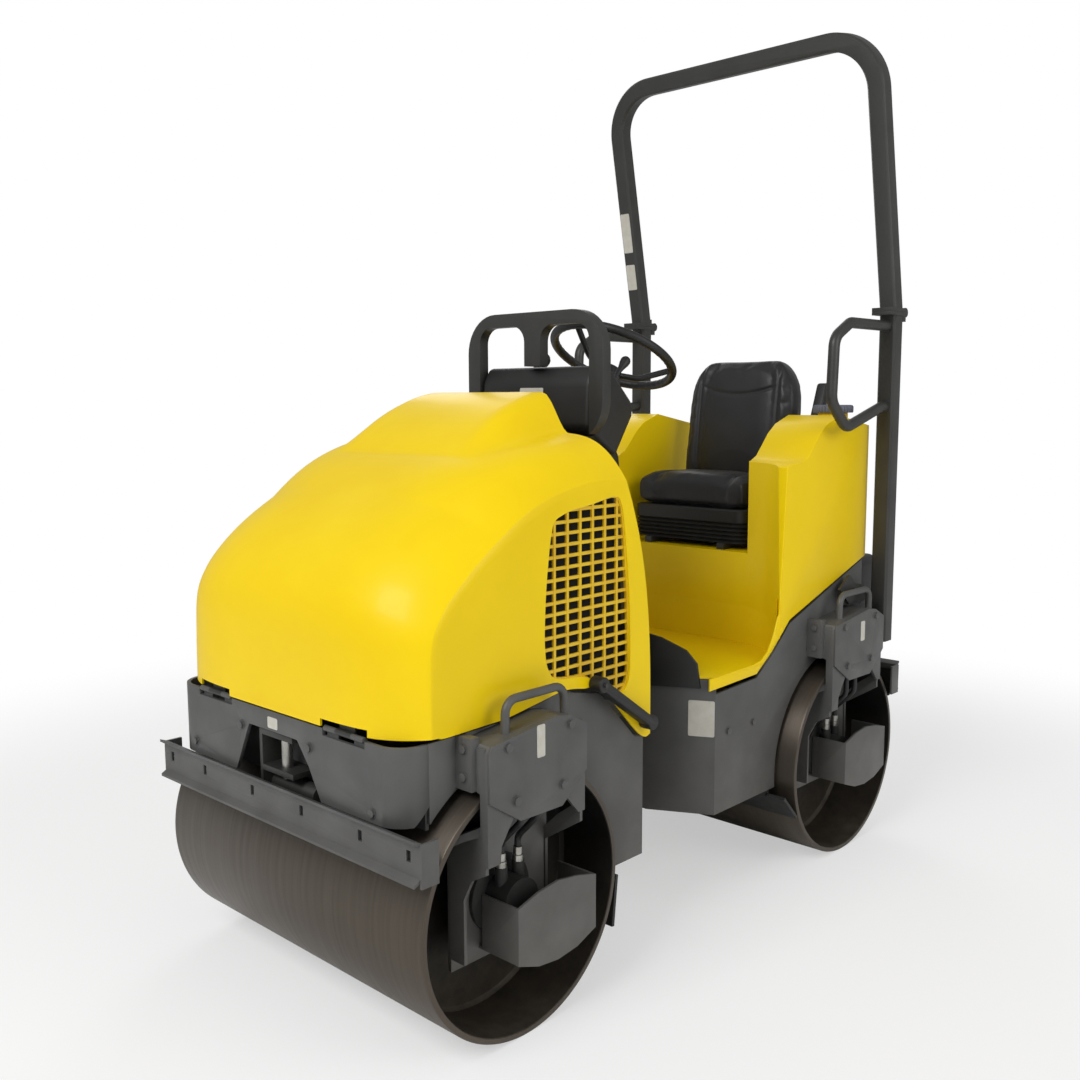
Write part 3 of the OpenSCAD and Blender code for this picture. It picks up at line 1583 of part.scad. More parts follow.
module pad(size, crown, bolster, narrow) {
    n = len(pad_shares);
    k = n * n;
    top = [for (v = pad_shares) for (u = pad_shares)
        [pad_x(u, v, size, narrow), pad_y(u, v, size), pad_top(u, v, size, crown, bolster)]];
    low = [for (v = pad_shares) for (u = pad_shares)
        [pad_x(u, v, size, narrow), pad_y(u, v, size), -size.z / 2 * pow(pad_edge(u) * pad_edge(v),
            1 / 2)]];
    seen = flat([for (j = [0:n - 2]) for (i = [0:n - 2])
        let (a = j * n + i, b = a + n)
        (2 * i < n - 1) == (2 * j < n - 1) ? two(a, b, b + 1, a + 1) : two(b, b + 1, a + 1, a)]);
    rim = [for (i = [0:n - 1]) for (j = [0:n - 1]) if (i == 0 || j == 0 || i == n - 1 || j == n - 1) j * n
        + i];
    hidden = [for (f = seen) [for (q = [f[0], f[2], f[1]]) len(search(q, rim)) > 0 ? q : q + k]];
    polyhedron(concat(top, low), concat(seen, hidden), convexity = 4);
}

module seat_cushion() {
    color(black)
        translate([0, seat_y[0] + cushion_size.y / 2, cushion_z + cushion_size.z / 2])
            pad(cushion_size, cushion_crown, cushion_bolster, 0);
}

module seat_backrest() {
    color(black)
        translate([0, seat_y[0] + cushion_size.y + gap, back_z])
            rotate([90 - back_lean, 0, 0])
                translate([0, back_size.y / 2, -back_size.z / 2])
                    pad(back_size, back_crown, back_bolster, back_narrow_share);
}

// Retractor of the seat belt, on the left fender
module seat_belt() {
    tops = laid(body_top_shares, body_at, body_size);
    a = tops[3];
    b = tops[4];
    ends = [for (y = [belt_y - belt_size.y / 2, belt_y + belt_size.y / 2])
        [y, mix(a.y, b.y, (y - a.x) / (b.x - a.x)) + gap]];
    color(black)
        along_x(belt_x, belt_x + belt_size.x)
            polygon([ends[0], ends[1], ends[1] + [belt_lean, belt_size.z],
                ends[1] + [belt_lean - belt_top, belt_size.z]]);
}

// Square tube: outline with small chamfers and its bore
module tube_outline(s, c) {
    h = s / 2;
    polygon([[-h + c, -h], [h - c, -h], [h, -h + c], [h, h - c], [h - c, h], [-h + c, h], [-h, h - c],
        [-h, -h + c]]);
}

module square_tube_outline() {
    difference() {
        tube_outline(rops_tube, rops_chamfer);
        tube_outline(rops_tube - 2 * rops_wall, rops_chamfer - rops_wall / 2);
    }
}

module joint_plate(z) {
    translate([post_x, post_y, z])
        difference() {
            block([-joint_w / 2, rops_tube / 2 - joint_depth, 0], [joint_w / 2, rops_tube / 2, joint_t]);
            translate([0, 0, -over])
                linear_extrude(joint_t + 2 * over)
                    tube_outline(rops_tube - 2 * rops_wall, rops_chamfer - rops_wall / 2);
            children();
        }
}

module rops_lower() {
    hinge = [post_y + rops_tube / 2 / cos(rops_lean) + joint_eye_r + gap, joint_z];
    color(dark_grey)
        both_sides() {
            along_z(post_foot_z, joint_z - joint_t)
                translate([post_x, post_y])
                    square_tube_outline();
            joint_plate(joint_z - joint_t)
                rod_z(joint_hole_r, -over, joint_t + over, 0, rops_tube / 2 - joint_depth + joint_stud_in);
            for (s = [-1, 1])
                joint_ear(post_x + s * joint_lug_x - joint_lug_t / 2, joint_lug_t, hinge, -joint_lug_h);
            rod_x(joint_pin_r, post_x - joint_lug_x - joint_lug_t / 2,
                post_x + joint_lug_x + joint_lug_t / 2, hinge.x, hinge.y);
            along_x(post_x - rops_tube / 2 - gusset_t, post_x - rops_tube / 2)
                polygon(laid(gusset_shares, gusset_at, gusset_size));
            block([half_w, spacer_y[0], spacer_z[0]], [post_x - rops_tube / 2 - gusset_t, spacer_y[1],
                spacer_z[1]]);
        }
}

// Ear of the roll-over bar's hinge
module joint_ear(x, w, hinge, h) {
    rod_x(joint_eye_r, x, x + w, hinge.x, hinge.y);
    block([x, post_y + rops_tube / 2 - rops_wall, min(hinge.y, hinge.y + h)], [x + w, hinge.x,
        max(hinge.y, hinge.y + h)]);
}

module rops_upper() {
    hinge = [post_y + rops_tube / 2 / cos(rops_lean) + joint_eye_r + gap, joint_z];
    base_z = joint_z + gap;
    lean_h = rops_z - base_z - rops_tube / 2 * (cos(rops_lean) + sin(rops_lean));
    side = lean_h / cos(rops_lean);
    color(dark_grey) {
        difference() {
            translate([0, post_y, base_z])
                rotate([rops_lean, 0, 0])
                    rops_bow(side);
            block([-frame_w, 0, base_z - 2 * rops_tube], [frame_w, 2 * post_y, base_z]);
        }
        both_sides() {
            joint_plate(base_z);
            rod_z(joint_stud_r, joint_z - joint_t, base_z + joint_t + over, post_x,
                post_y + rops_tube / 2 - joint_depth + joint_stud_in);
            difference() {
                joint_ear(post_x - joint_eye_t / 2, joint_eye_t, hinge, joint_lug_h);
                rod_x(joint_pin_r + run, post_x - joint_eye_t, post_x + joint_eye_t, hinge.x, hinge.y);
            }
        }
    }
}

// The bow in its own plane, standing on z = 0
module rops_bow(side) {
    both_sides()
        along_z(-rops_tube, side - rops_corner)
            translate([post_x, 0])
                square_tube_outline();
    along_x(-post_x + rops_corner, post_x - rops_corner)
        translate([0, side])
            square_tube_outline();
    both_sides()
        translate([post_x - rops_corner, 0, side - rops_corner])
            rotate([90, 0, 0])
                rotate_extrude(angle = 90)
                    translate([rops_corner, 0])
                        square_tube_outline();
}

// Hand loops in front of the posts
module handrails() {
    color(dark_grey)
        both_sides()
            pipe(extruded(laid(hand_shares, hand_at, [post_y - rops_tube / 2 - gap - hand_at.x, hand_h]),
                post_x), hand_r, hand_bend, [1, 0, 0]);
}

front_chassis();
front_apron();
front_bolts();
tow_bracket();
tow_pin();
front_leg_left();
front_leg_right();
front_leg_covers();
front_drive_motor();
front_hoses();
front_scraper_beam();
front_scraper_blade();
front_inner_scraper();
engine_block();
radiator();
muffler();
fuel_tank();
hydraulic_pump();
articulation_pin();
front_drum();
exciter_shaft();
engine_fan();
hood();
hood_grilles();
hood_fittings();
left_latch();
right_latch();
centre_block();
steering_barrel();
steering_rod();
rear_chassis();
rear_body();
kick_panel();
rear_leg_left();
rear_leg_right();
rear_leg_covers();
rear_bolts();
rear_drive_motor();
rear_hoses();
rear_scraper_beam();
rear_scraper_blade();
rear_inner_scraper();
rear_cover();
rear_drum();
console();
console_hoop();
steering_wheel();
horn_button();
ignition_key();
travel_lever();
throttle_lever();
seat_rails();
seat_pan();
seat_cushion();
seat_backrest();
seat_belt();
rops_lower();
rops_upper();
handrails();
water_cap();
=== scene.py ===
import json
import math

import bmesh
import bpy
from mathutils import Matrix, Vector


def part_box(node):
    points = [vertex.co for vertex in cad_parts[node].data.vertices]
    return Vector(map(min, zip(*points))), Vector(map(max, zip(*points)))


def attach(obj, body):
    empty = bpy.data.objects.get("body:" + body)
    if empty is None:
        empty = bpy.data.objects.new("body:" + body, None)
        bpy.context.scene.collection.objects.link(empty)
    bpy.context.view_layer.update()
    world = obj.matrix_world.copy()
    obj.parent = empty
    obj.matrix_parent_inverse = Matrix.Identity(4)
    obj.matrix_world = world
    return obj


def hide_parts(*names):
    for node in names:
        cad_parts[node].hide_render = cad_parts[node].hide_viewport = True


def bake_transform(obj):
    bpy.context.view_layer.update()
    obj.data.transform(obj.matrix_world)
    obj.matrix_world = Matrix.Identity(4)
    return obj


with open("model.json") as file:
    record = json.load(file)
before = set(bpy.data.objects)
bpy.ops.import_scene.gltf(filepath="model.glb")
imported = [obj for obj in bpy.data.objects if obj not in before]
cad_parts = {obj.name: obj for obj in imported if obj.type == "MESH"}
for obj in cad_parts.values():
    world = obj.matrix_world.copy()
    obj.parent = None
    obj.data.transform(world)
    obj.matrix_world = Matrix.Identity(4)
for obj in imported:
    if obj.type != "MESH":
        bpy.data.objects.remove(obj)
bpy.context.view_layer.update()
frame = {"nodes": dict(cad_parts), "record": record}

scene = bpy.context.scene
scene.view_settings.view_transform = "Standard"
mm = 0.001


# camera, lamps and floor
viewpoint = {"place": (1.9558, -2.2079, 1.2915), "yaw": 43.38, "pitch": -7.15, "roll": -0.23, "lens": 37.47}


def aimCamera(sizes):
    yaw, pitch, roll = (math.radians(sizes[k]) for k in ("yaw", "pitch", "roll"))
    ahead = Vector((-math.sin(yaw) * math.cos(pitch), math.cos(yaw) * math.cos(pitch), math.sin(pitch)))
    right = ahead.cross(Vector((0, 0, 1))).normalized()
    up = right.cross(ahead)
    r = right * math.cos(roll) + up * math.sin(roll)
    u = up * math.cos(roll) - right * math.sin(roll)
    data = bpy.data.cameras.new("photoCamera")
    data.sensor_width = 36
    data.lens = sizes["lens"]
    camera = bpy.data.objects.new("photoCamera", data)
    camera.matrix_world = Matrix.Translation(sizes["place"]) @ Matrix((r, u, -ahead)).transposed().to_4x4()
    scene.collection.objects.link(camera)
    scene.camera = camera


aimCamera(viewpoint)

studio = {
    "lamps": [  # place, what it looks at, side in metres, watts
        ("key", (0.6, -4.6, 4.4), (0, -0.2, 0.8), 2.6, 175),
        ("fill", (4.6, 0.4, 2.6), (0, 0, 0.8), 2.6, 62),
        ("rim", (-3.4, 3.2, 3.6), (0, 0.3, 0.9), 2.4, 40),
    ],
    "worldStrength": 0.42, "floorSide": 40, "clearWithin": 1.7, "clearBeyond": 3.4,
}


def linear(hexCode):
    parts = [int(hexCode[i:i + 2], 16) / 255 for i in (1, 3, 5)]
    return [p / 12.92 if p <= 0.04045 else ((p + 0.055) / 1.055) ** 2.4 for p in parts] + [1]


def addNode(tree, kind, settings=None, links=None):
    node = tree.nodes.new(kind)
    for key, value in (settings or {}).items():
        if key == "stops":
            ramp = node.color_ramp.elements
            while len(ramp) < len(value):
                ramp.new(0.5)
            for stop, (place, colour) in zip(ramp, value):
                stop.position, stop.color = place, colour
        elif isinstance(key, str) and hasattr(node, key):
            setattr(node, key, value)
        else:
            node.inputs[key].default_value = value
    for key, source in (links or {}).items():
        tree.links.new(source, node.inputs[key])
    return node


def adder(tree):  # adds a node to this tree and gives one of its outputs
    def add(kind, settings=None, links=None, out=0):
        return addNode(tree, kind, settings, links).outputs[out]

    return add


def emptied(owner):
    owner.use_nodes = True
    owner.node_tree.nodes.clear()
    return owner.node_tree


def lightStudio(sizes):
    for name, place, target, side, watts in sizes["lamps"]:
        data = bpy.data.lights.new(name, "AREA")
        data.shape = "SQUARE"
        data.size = side
        data.energy = watts
        lamp = bpy.data.objects.new(name, data)
        turn = (Vector(target) - Vector(place)).to_track_quat("-Z", "Y").to_matrix().to_4x4()
        lamp.matrix_world = Matrix.Translation(place) @ turn
        scene.collection.objects.link(lamp)
    world = bpy.data.worlds.new("studioAir")
    tree = emptied(world)
    add = adder(tree)
    path = addNode(tree, "ShaderNodeLightPath").outputs
    seen = add("ShaderNodeMath", {"operation": "MAXIMUM"}, {0: path["Is Camera Ray"], 1: path["Is Transmission Ray"]})
    soft = add("ShaderNodeBackground", {"Color": (1, 1, 1, 1), "Strength": sizes["worldStrength"]})
    white = add("ShaderNodeBackground", {"Color": (1, 1, 1, 1), "Strength": 1})
    both = add("ShaderNodeMixShader", None, {0: seen, 1: soft, 2: white})
    addNode(tree, "ShaderNodeOutputWorld", None, {"Surface": both})
    scene.world = world


def layFloor(sizes):
    material = bpy.data.materials.new("paleStudioFloor")
    tree = emptied(material)
    add = adder(tree)
    spot = add("ShaderNodeTexCoord", None, None, "Object")
    far = add("ShaderNodeVectorMath", {"operation": "LENGTH"}, {0: spot}, "Value")
    fade = add("ShaderNodeMapRange", {
        "From Min": sizes["clearWithin"], "From Max": sizes["clearBeyond"], "To Min": 0.5, "To Max": 1,
        "interpolation_type": "SMOOTHSTEP"}, {"Value": far})
    seen = add("ShaderNodeLightPath", None, None, "Is Camera Ray")
    share = add("ShaderNodeMath", {"operation": "MULTIPLY"}, {0: fade, 1: seen})
    matt = add("ShaderNodeBsdfDiffuse", {"Color": (0.93, 0.93, 0.93, 1)})
    white = add("ShaderNodeEmission", {"Color": (1, 1, 1, 1), "Strength": 1})
    both = add("ShaderNodeMixShader", None, {0: share, 1: matt, 2: white})
    addNode(tree, "ShaderNodeOutputMaterial", None, {"Surface": both})
    half = sizes["floorSide"] / 2
    mesh = bpy.data.meshes.new("studioFloor")
    mesh.from_pydata([(-half, -half, 0), (half, -half, 0), (half, half, 0), (-half, half, 0)], [], [(0, 1, 2, 3)])
    mesh.materials.append(material)
    floor = bpy.data.objects.new("studioFloor", mesh)
    scene.collection.objects.link(floor)


lightStudio(studio)
layFloor(studio)
print("camera, lamps and floor are set")


# materials
def finish(name, look):
    material = bpy.data.materials.new(name)
    tree = emptied(material)
    add = adder(tree)
    place = add("ShaderNodeTexCoord", None, None, "Object")
    drawn = add("ShaderNodeMapping", {"Scale": look.get("stretch", (1, 1, 1))}, {"Vector": place})
    patches = add("ShaderNodeTexNoise", {"Scale": 1 / (look["patch"] * mm), "Detail": 5}, {"Vector": drawn}, "Fac")
    spread = add("ShaderNodeMapRange", {"From Min": 0.32, "From Max": 0.68}, {"Value": patches})
    tones = {"data_type": "RGBA", 6: linear(look["colour"]), 7: linear(look["second"])}
    colour = add("ShaderNodeMix", tones, {0: spread}, 2)
    if "dust" in look:  # dry soil that settles low on the machine
        most, top = look["dust"]
        height = add("ShaderNodeSeparateXYZ", None, {0: place}, "Z")
        fall = {"From Min": 0.02, "From Max": top, "To Min": most, "To Max": 0}
        low = add("ShaderNodeMapRange", fall, {"Value": height})
        soil = add("ShaderNodeTexNoise", {"Scale": 22, "Detail": 8, "Roughness": 0.7}, {"Vector": place}, "Fac")
        amount = add("ShaderNodeMath", {"operation": "MULTIPLY", "use_clamp": True}, {0: low, 1: soil})
        colour = add("ShaderNodeMix", {"data_type": "RGBA", 7: linear("#8B7F6C")}, {0: amount, 6: colour}, 2)
    least, most = look["rough"]
    reach = {"From Min": 0.3, "From Max": 0.7, "To Min": least, "To Max": most}
    rough = add("ShaderNodeMapRange", reach, {"Value": patches})
    fine = 1 / (look["grain"] * mm)
    if look.get("grainKind") == "cells":
        grain = add("ShaderNodeTexVoronoi", {"Scale": fine}, {"Vector": place}, "Distance")
    else:
        grain = add("ShaderNodeTexNoise", {"Scale": fine, "Detail": 3}, {"Vector": drawn}, "Fac")
    bump = add("ShaderNodeBump", {"Strength": 1, "Distance": look["depth"] * mm}, {"Height": grain})
    shader = add("ShaderNodeBsdfPrincipled", {
        "Metallic": look.get("metallic", 0), "Coat Weight": look.get("coat", 0), "Coat Roughness": 0.12,
        "Sheen Weight": look.get("sheen", 0), "Specular IOR Level": look.get("shine", 0.5)},
        {"Base Color": colour, "Roughness": rough, "Normal": bump})
    addNode(tree, "ShaderNodeOutputMaterial", None, {"Surface": shader})
    return material


# gelcoat on moulded glass fibre: deep even yellow, wet gloss over a faint orange peel
yellowGelcoat = finish("yellowGelcoat", {
    "colour": "#F4D200", "second": "#EFCB00", "patch": 260, "rough": (0.38, 0.46), "grain": 9, "depth": 0.04,
    "coat": 0.06, "shine": 0.22})
# the gelcoat again on the grille's bars, where only a thin line of it shows, darker and more orange: painted shade on
# the bars
yellowBars = finish("yellowBars", {
    "colour": "#E9C21A", "second": "#D9AE12", "patch": 60, "rough": (0.32, 0.42), "grain": 6, "depth": 0.05})
# baked enamel on rolled and welded plate: satin grey with a slight tooth and dust low down
greyEnamel = finish("greyEnamel", {
    "colour": "#565655", "second": "#4B4B4A", "patch": 120, "rough": (0.42, 0.55), "grain": 3, "depth": 0.05,
    "dust": (0.3, 0.5)})
# powder coat on square tube: darker, a little smoother than the plate
darkPowderCoat = finish("darkPowderCoat", {
    "colour": "#343432", "second": "#2D2D2B", "patch": 90, "rough": (0.4, 0.5), "grain": 2.5, "depth": 0.04})
# rolled mild steel worn by gravel: brown grey with fine rings around the drum
rolledSteel = finish("rolledSteel", {
    "colour": "#585149", "second": "#524B43", "patch": 8, "stretch": (1, 0.03, 0.03), "rough": (0.38, 0.43),
    "grain": 1.2, "depth": 0.02, "metallic": 0.75, "dust": (0.25, 0.3)})
# inner faces of the drums: near-black painted shade for the hollow inside the drum, with dust low down
millScale = finish("millScale", {
    "colour": "#181614", "second": "#110F0E", "patch": 60, "rough": (0.5, 0.7), "grain": 4, "depth": 0.1,
    "metallic": 0.4, "dust": (0.4, 0.35)})
# zinc plated steel: pale grey with a dull sparkle
zincPlate = finish("zincPlate", {
    "colour": "#B9B8B2", "second": "#A09E97", "patch": 25, "rough": (0.28, 0.42), "grain": 1.5, "depth": 0.03,
    "metallic": 1})
# sand cast iron under black paint: pebbled
paintedCasting = finish("paintedCasting", {
    "colour": "#2B2B29", "second": "#1F1F1E", "patch": 40, "rough": (0.5, 0.65), "grain": 3, "depth": 0.25,
    "grainKind": "cells"})
# extruded hose rubber: deep black, soft shine
hoseRubber = finish("hoseRubber", {
    "colour": "#171716", "second": "#212120", "patch": 30, "rough": (0.45, 0.6), "grain": 2, "depth": 0.05})
# moulded ABS with an etched leather-like tool grain
blackAbs = finish("blackAbs", {
    "colour": "#161615", "second": "#1D1D1C", "patch": 80, "rough": (0.45, 0.55), "grain": 1.6, "depth": 0.05,
    "grainKind": "cells"})
# coated vinyl over foam: fine pebbled grain and a soft sheen on the crowns
seatVinyl = finish("seatVinyl", {
    "colour": "#121213", "second": "#18181A", "patch": 60, "rough": (0.42, 0.55), "grain": 2.2, "depth": 0.12,
    "grainKind": "cells", "sheen": 0.08})
# glass filled nylon of the water cap: dusty blue grey
capNylon = finish("capNylon", {
    "colour": "#5F6270", "second": "#52555F", "patch": 40, "rough": (0.5, 0.62), "grain": 2, "depth": 0.05})
# printed vinyl plate left blank: off-white, flat
blankVinyl = finish("blankVinyl", {
    "colour": "#C9C6BC", "second": "#BFBBAF", "patch": 20, "rough": (0.35, 0.45), "grain": 5, "depth": 0.02})
# near-black sheet behind the grille, taking all light: painted shade for the dark inside of the hood
screenFelt = finish("screenFelt", {
    "colour": "#0B0B0B", "second": "#121211", "patch": 20, "rough": (0.9, 1), "grain": 3, "depth": 0.2})
print("materials are made")

nodeFinish = {
    greyEnamel: ["front_chassis", "front_leg_left", "front_leg_right", "rear_chassis", "rear_leg_left",
                 "rear_leg_right", "centre_block", "front_leg_covers", "rear_leg_covers", "front_scraper_beam",
                 "rear_scraper_beam", "front_apron"],
    darkPowderCoat: ["tow_bracket", "hood_fittings", "steering_barrel", "seat_rails", "rops_lower", "rops_upper",
                     "console_hoop", "handrails"],
    rolledSteel: ["front_drum", "rear_drum", "muffler"],
    zincPlate: ["front_bolts", "rear_bolts", "tow_pin", "articulation_pin", "steering_rod", "horn_button",
                "ignition_key"],
    paintedCasting: ["front_drive_motor", "rear_drive_motor", "engine_block", "hydraulic_pump", "exciter_shaft"],
    hoseRubber: ["front_hoses", "rear_hoses", "left_latch", "right_latch", "front_scraper_blade",
                 "rear_scraper_blade", "front_inner_scraper", "rear_inner_scraper"],
    blackAbs: ["radiator", "fuel_tank", "engine_fan", "kick_panel", "rear_cover", "console", "steering_wheel",
               "travel_lever", "throttle_lever", "seat_pan", "seat_belt"],
    yellowGelcoat: ["hood", "rear_body"],
    yellowBars: ["hood_grilles"],
    seatVinyl: ["seat_cushion", "seat_backrest"],
    capNylon: ["water_cap"],
}
for material, names in nodeFinish.items():
    for name in names:
        for place in frame["nodes"][name].material_slots:
            place.material = material


# mesh tools
def loose(name, mesh):
    piece = bpy.data.objects.new(name, mesh)
    scene.collection.objects.link(piece)
    return piece


def baked(piece):
    graph = bpy.context.evaluated_depsgraph_get()
    mesh = bpy.data.meshes.new_from_object(piece.evaluated_get(graph), depsgraph=graph)
    bpy.data.objects.remove(piece)
    return mesh


def meshFrom(name, points, faces):
    mesh = bpy.data.meshes.new(name)
    mesh.from_pydata([tuple(p) for p in points], [], faces)
    mesh.validate()
    return mesh


def edited(mesh, change):
    work = bmesh.new()
    work.from_mesh(mesh)
    change(work)
    work.to_mesh(mesh)
    work.free()
    return mesh


def joined(work, reach):
    bmesh.ops.remove_doubles(work, verts=work.verts, dist=reach * mm)


def outward(mesh):
    def change(work):
        joined(work, 0.01)
        bmesh.ops.recalc_face_normals(work, faces=work.faces)

    return edited(mesh, change)


def wholeFaces(mesh, reach):  # loose triangles become whole faces
    def change(work):
        joined(work, reach)
        bmesh.ops.dissolve_limit(work, angle_limit=math.radians(0.6), verts=work.verts, edges=work.edges)

    return edited(mesh, change)


def shaded(mesh, angle=32):
    def change(work):
        for edge in work.edges:
            edge.smooth = len(edge.link_faces) == 2 and edge.calc_face_angle(0) < math.radians(angle)
        for face in work.faces:
            face.smooth = True

    return edited(mesh, change)


def combined(name, meshes):
    work = bmesh.new()
    for mesh in meshes:
        work.from_mesh(mesh)
    whole = bpy.data.meshes.new(name)
    work.to_mesh(whole)
    work.free()
    return whole


def piece(name, mesh, body, slotName, materials, replaced=(), angle=32):
    mesh.materials.clear()
    for material in materials:
        mesh.materials.append(material)
    made = loose(name, shaded(mesh, angle))
    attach(made, body)
    if replaced:
        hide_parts(*replaced)
    return made


def walled(name, mesh, wall):
    work = loose(name, mesh)
    change = work.modifiers.new("wall", "SOLIDIFY")
    change.thickness = wall
    change.offset = -1
    return baked(work)


def bevelled(mesh, width, steps=2, angle=34):
    work = loose("bevelWork", mesh)
    change = work.modifiers.new("bevel", "BEVEL")
    change.width = width * mm
    change.segments = steps
    change.limit_method = "ANGLE"
    change.angle_limit = math.radians(angle)
    return baked(work)


def cutOrAdd(mesh, other, operation):
    first, second = loose("first", mesh), loose("second", other)
    change = first.modifiers.new("boolean", "BOOLEAN")
    change.operation = operation
    change.solver = "MANIFOLD"
    change.object = second
    result = baked(first)
    bpy.data.objects.remove(second)
    return result


def prism(points, axis, start, end):
    turn = {"x": lambda a, b, c: (c, a, b), "y": lambda a, b, c: (a, c, b), "z": lambda a, b, c: (a, b, c)}[axis]
    n = len(points)
    low = [turn(a, b, start) for a, b in points]
    high = [turn(a, b, end) for a, b in points]
    sides = [(i, (i + 1) % n, n + (i + 1) % n, n + i) for i in range(n)]
    return outward(meshFrom("prism", low + high, [tuple(range(n)), tuple(range(2 * n - 1, n - 1, -1))] + sides))


def brick(low, high):
    return prism([(low[0], low[1]), (high[0], low[1]), (high[0], high[1]), (low[0], high[1])], "z", low[2], high[2])


def spun(profile, steps, place, axis, closed=False):
    turn = Vector((0, 0, 1)).rotation_difference(Vector(axis)).to_matrix().to_4x4()
    move = Matrix.Translation(place) @ turn
    n = len(profile)
    points, faces = [], []
    for k in range(steps):
        angle = 2 * math.pi * k / steps
        points += [move @ Vector((r * math.cos(angle), r * math.sin(angle), h)) for r, h in profile]
    last = n if closed else n - 1
    for k in range(steps):
        a, b = k * n, ((k + 1) % steps) * n
        faces += [(a + i, b + i, b + (i + 1) % n, a + (i + 1) % n) for i in range(last)]
    return outward(meshFrom("spun", points, faces))


def turned(profile, steps, place, axis, closed=False):  # the same, with its profile in mm
    return spun([(r * mm, h * mm) for r, h in profile], steps, place, axis, closed)


def lofted(name, points, n):  # rings of n points each, closed at both ends
    last = len(points) // n - 1
    faces = [(r * n + k, r * n + (k + 1) % n, (r + 1) * n + (k + 1) % n, (r + 1) * n + k)
             for r in range(last) for k in range(n)]
    faces += [tuple(range(n - 1, -1, -1)), tuple(range(last * n, last * n + n))]
    return outward(meshFrom(name, points, faces))


def mirroredCopy(mesh):
    other = mesh.copy()
    other.transform(Matrix.Scale(-1, 4, (1, 0, 0)))
    other.flip_normals()
    return other


def bothSides(mesh):
    return combined("bothSides", [mesh, mirroredCopy(mesh)])


# geometry node tools
def newTree(name, inputs):
    tree = bpy.data.node_groups.new(name, "GeometryNodeTree")
    tree.interface.new_socket("Geometry", in_out="INPUT", socket_type="NodeSocketGeometry")
    for label, kind in inputs.items():
        tree.interface.new_socket(label, in_out="INPUT", socket_type=kind)
    tree.interface.new_socket("Geometry", in_out="OUTPUT", socket_type="NodeSocketGeometry")
    return tree, addNode(tree, "NodeGroupInput").outputs, adder(tree)


def ended(tree, given, geometry):
    add = adder(tree)
    real = add("GeometryNodeRealizeInstances", None, {"Geometry": geometry})
    coated = add("GeometryNodeSetMaterial", None, {"Geometry": real, "Material": given["Material"]})
    addNode(tree, "NodeGroupOutput", None, {"Geometry": coated})
    return tree


def grown(mesh, tree, values):
    work = loose("grown", mesh)
    change = work.modifiers.new("grow", "NODES")
    change.node_group = tree
    for item in tree.interface.items_tree:
        if item.item_type == "SOCKET" and item.in_out == "INPUT" and item.name in values:
            change[item.identifier] = values[item.name]
    return baked(work)


def makeTubeTree():
    tree, given, add = newTree("roundTube", {"Radius": "NodeSocketFloat", "Sides": "NodeSocketInt",
                                             "Bend": "NodeSocketFloat", "Material": "NodeSocketMaterial"})
    line = add("GeometryNodeMeshToCurve", None, {"Mesh": given["Geometry"]})
    bent = add("GeometryNodeFilletCurve", {"mode": "POLY", "Count": 10}, {"Curve": line, "Radius": given["Bend"]})
    ring = add("GeometryNodeCurvePrimitiveCircle", {"mode": "RADIUS"},
               {"Radius": given["Radius"], "Resolution": given["Sides"]})
    return ended(tree, given, add("GeometryNodeCurveToMesh", {"Fill Caps": True},
                                  {"Curve": bent, "Profile Curve": ring}))


def makeBoltTree():  # points with a "facing" vector become washers under chamfered hexagon heads
    tree, given, add = newTree("hexBolts", {"Head radius": "NodeSocketFloat", "Head height": "NodeSocketFloat",
                                            "Washer radius": "NodeSocketFloat", "Material": "NodeSocketMaterial"})
    height, radius = given["Head height"], given["Head radius"]

    def share(of, amount):
        return add("ShaderNodeMath", {"operation": "MULTIPLY", 1: amount}, {0: of})

    def raised(shape, by):
        lift = add("ShaderNodeCombineXYZ", None, {"Z": by})
        return add("GeometryNodeTransform", None, {"Geometry": shape, "Translation": lift})

    washer = add("GeometryNodeMeshCylinder", {"Vertices": 24},
                 {"Radius": given["Washer radius"], "Depth": share(height, 0.28)}, "Mesh")
    head = add("GeometryNodeMeshCylinder", {"Vertices": 6}, {"Radius": radius, "Depth": height}, "Mesh")
    crown = add("GeometryNodeMeshCone", {"Vertices": 24}, {
        "Radius Bottom": radius, "Radius Top": share(radius, 0.8), "Depth": share(height, 0.12)})
    whole = addNode(tree, "GeometryNodeJoinGeometry")
    for part in (washer, raised(head, share(height, 0.5)), raised(crown, height)):
        tree.links.new(part, whole.inputs[0])
    facing = add("GeometryNodeInputNamedAttribute", {"data_type": "FLOAT_VECTOR", "Name": "facing"})
    turn = add("FunctionNodeAlignRotationToVector", {"axis": "Z"}, {"Vector": facing})
    return ended(tree, given, add("GeometryNodeInstanceOnPoints", None, {
        "Points": given["Geometry"], "Instance": whole.outputs[0], "Rotation": turn}))


def makeBarTree():  # points with a "barSize" vector become straight bars of that size
    tree, given, add = newTree("latticeBars", {"Material": "NodeSocketMaterial"})
    cube = add("GeometryNodeMeshCube", {"Size": (1, 1, 1)}, None, "Mesh")
    size = add("GeometryNodeInputNamedAttribute", {"data_type": "FLOAT_VECTOR", "Name": "barSize"})
    return ended(tree, given, add("GeometryNodeInstanceOnPoints", None, {
        "Points": given["Geometry"], "Instance": cube, "Scale": size}))


tubeTree, boltTree, barTree = makeTubeTree(), makeBoltTree(), makeBarTree()


def pathMesh(points):
    mesh = bpy.data.meshes.new("path")
    mesh.from_pydata([tuple(p) for p in points], [(i, i + 1) for i in range(len(points) - 1)], [])
    return mesh


def pointMesh(points, label, vectors):
    mesh = bpy.data.meshes.new("points")
    mesh.from_pydata([tuple(p) for p in points], [], [])
    store = mesh.attributes.new(label, "FLOAT_VECTOR", "POINT")
    for i, value in enumerate(vectors):
        store.data[i].vector = value
    return mesh


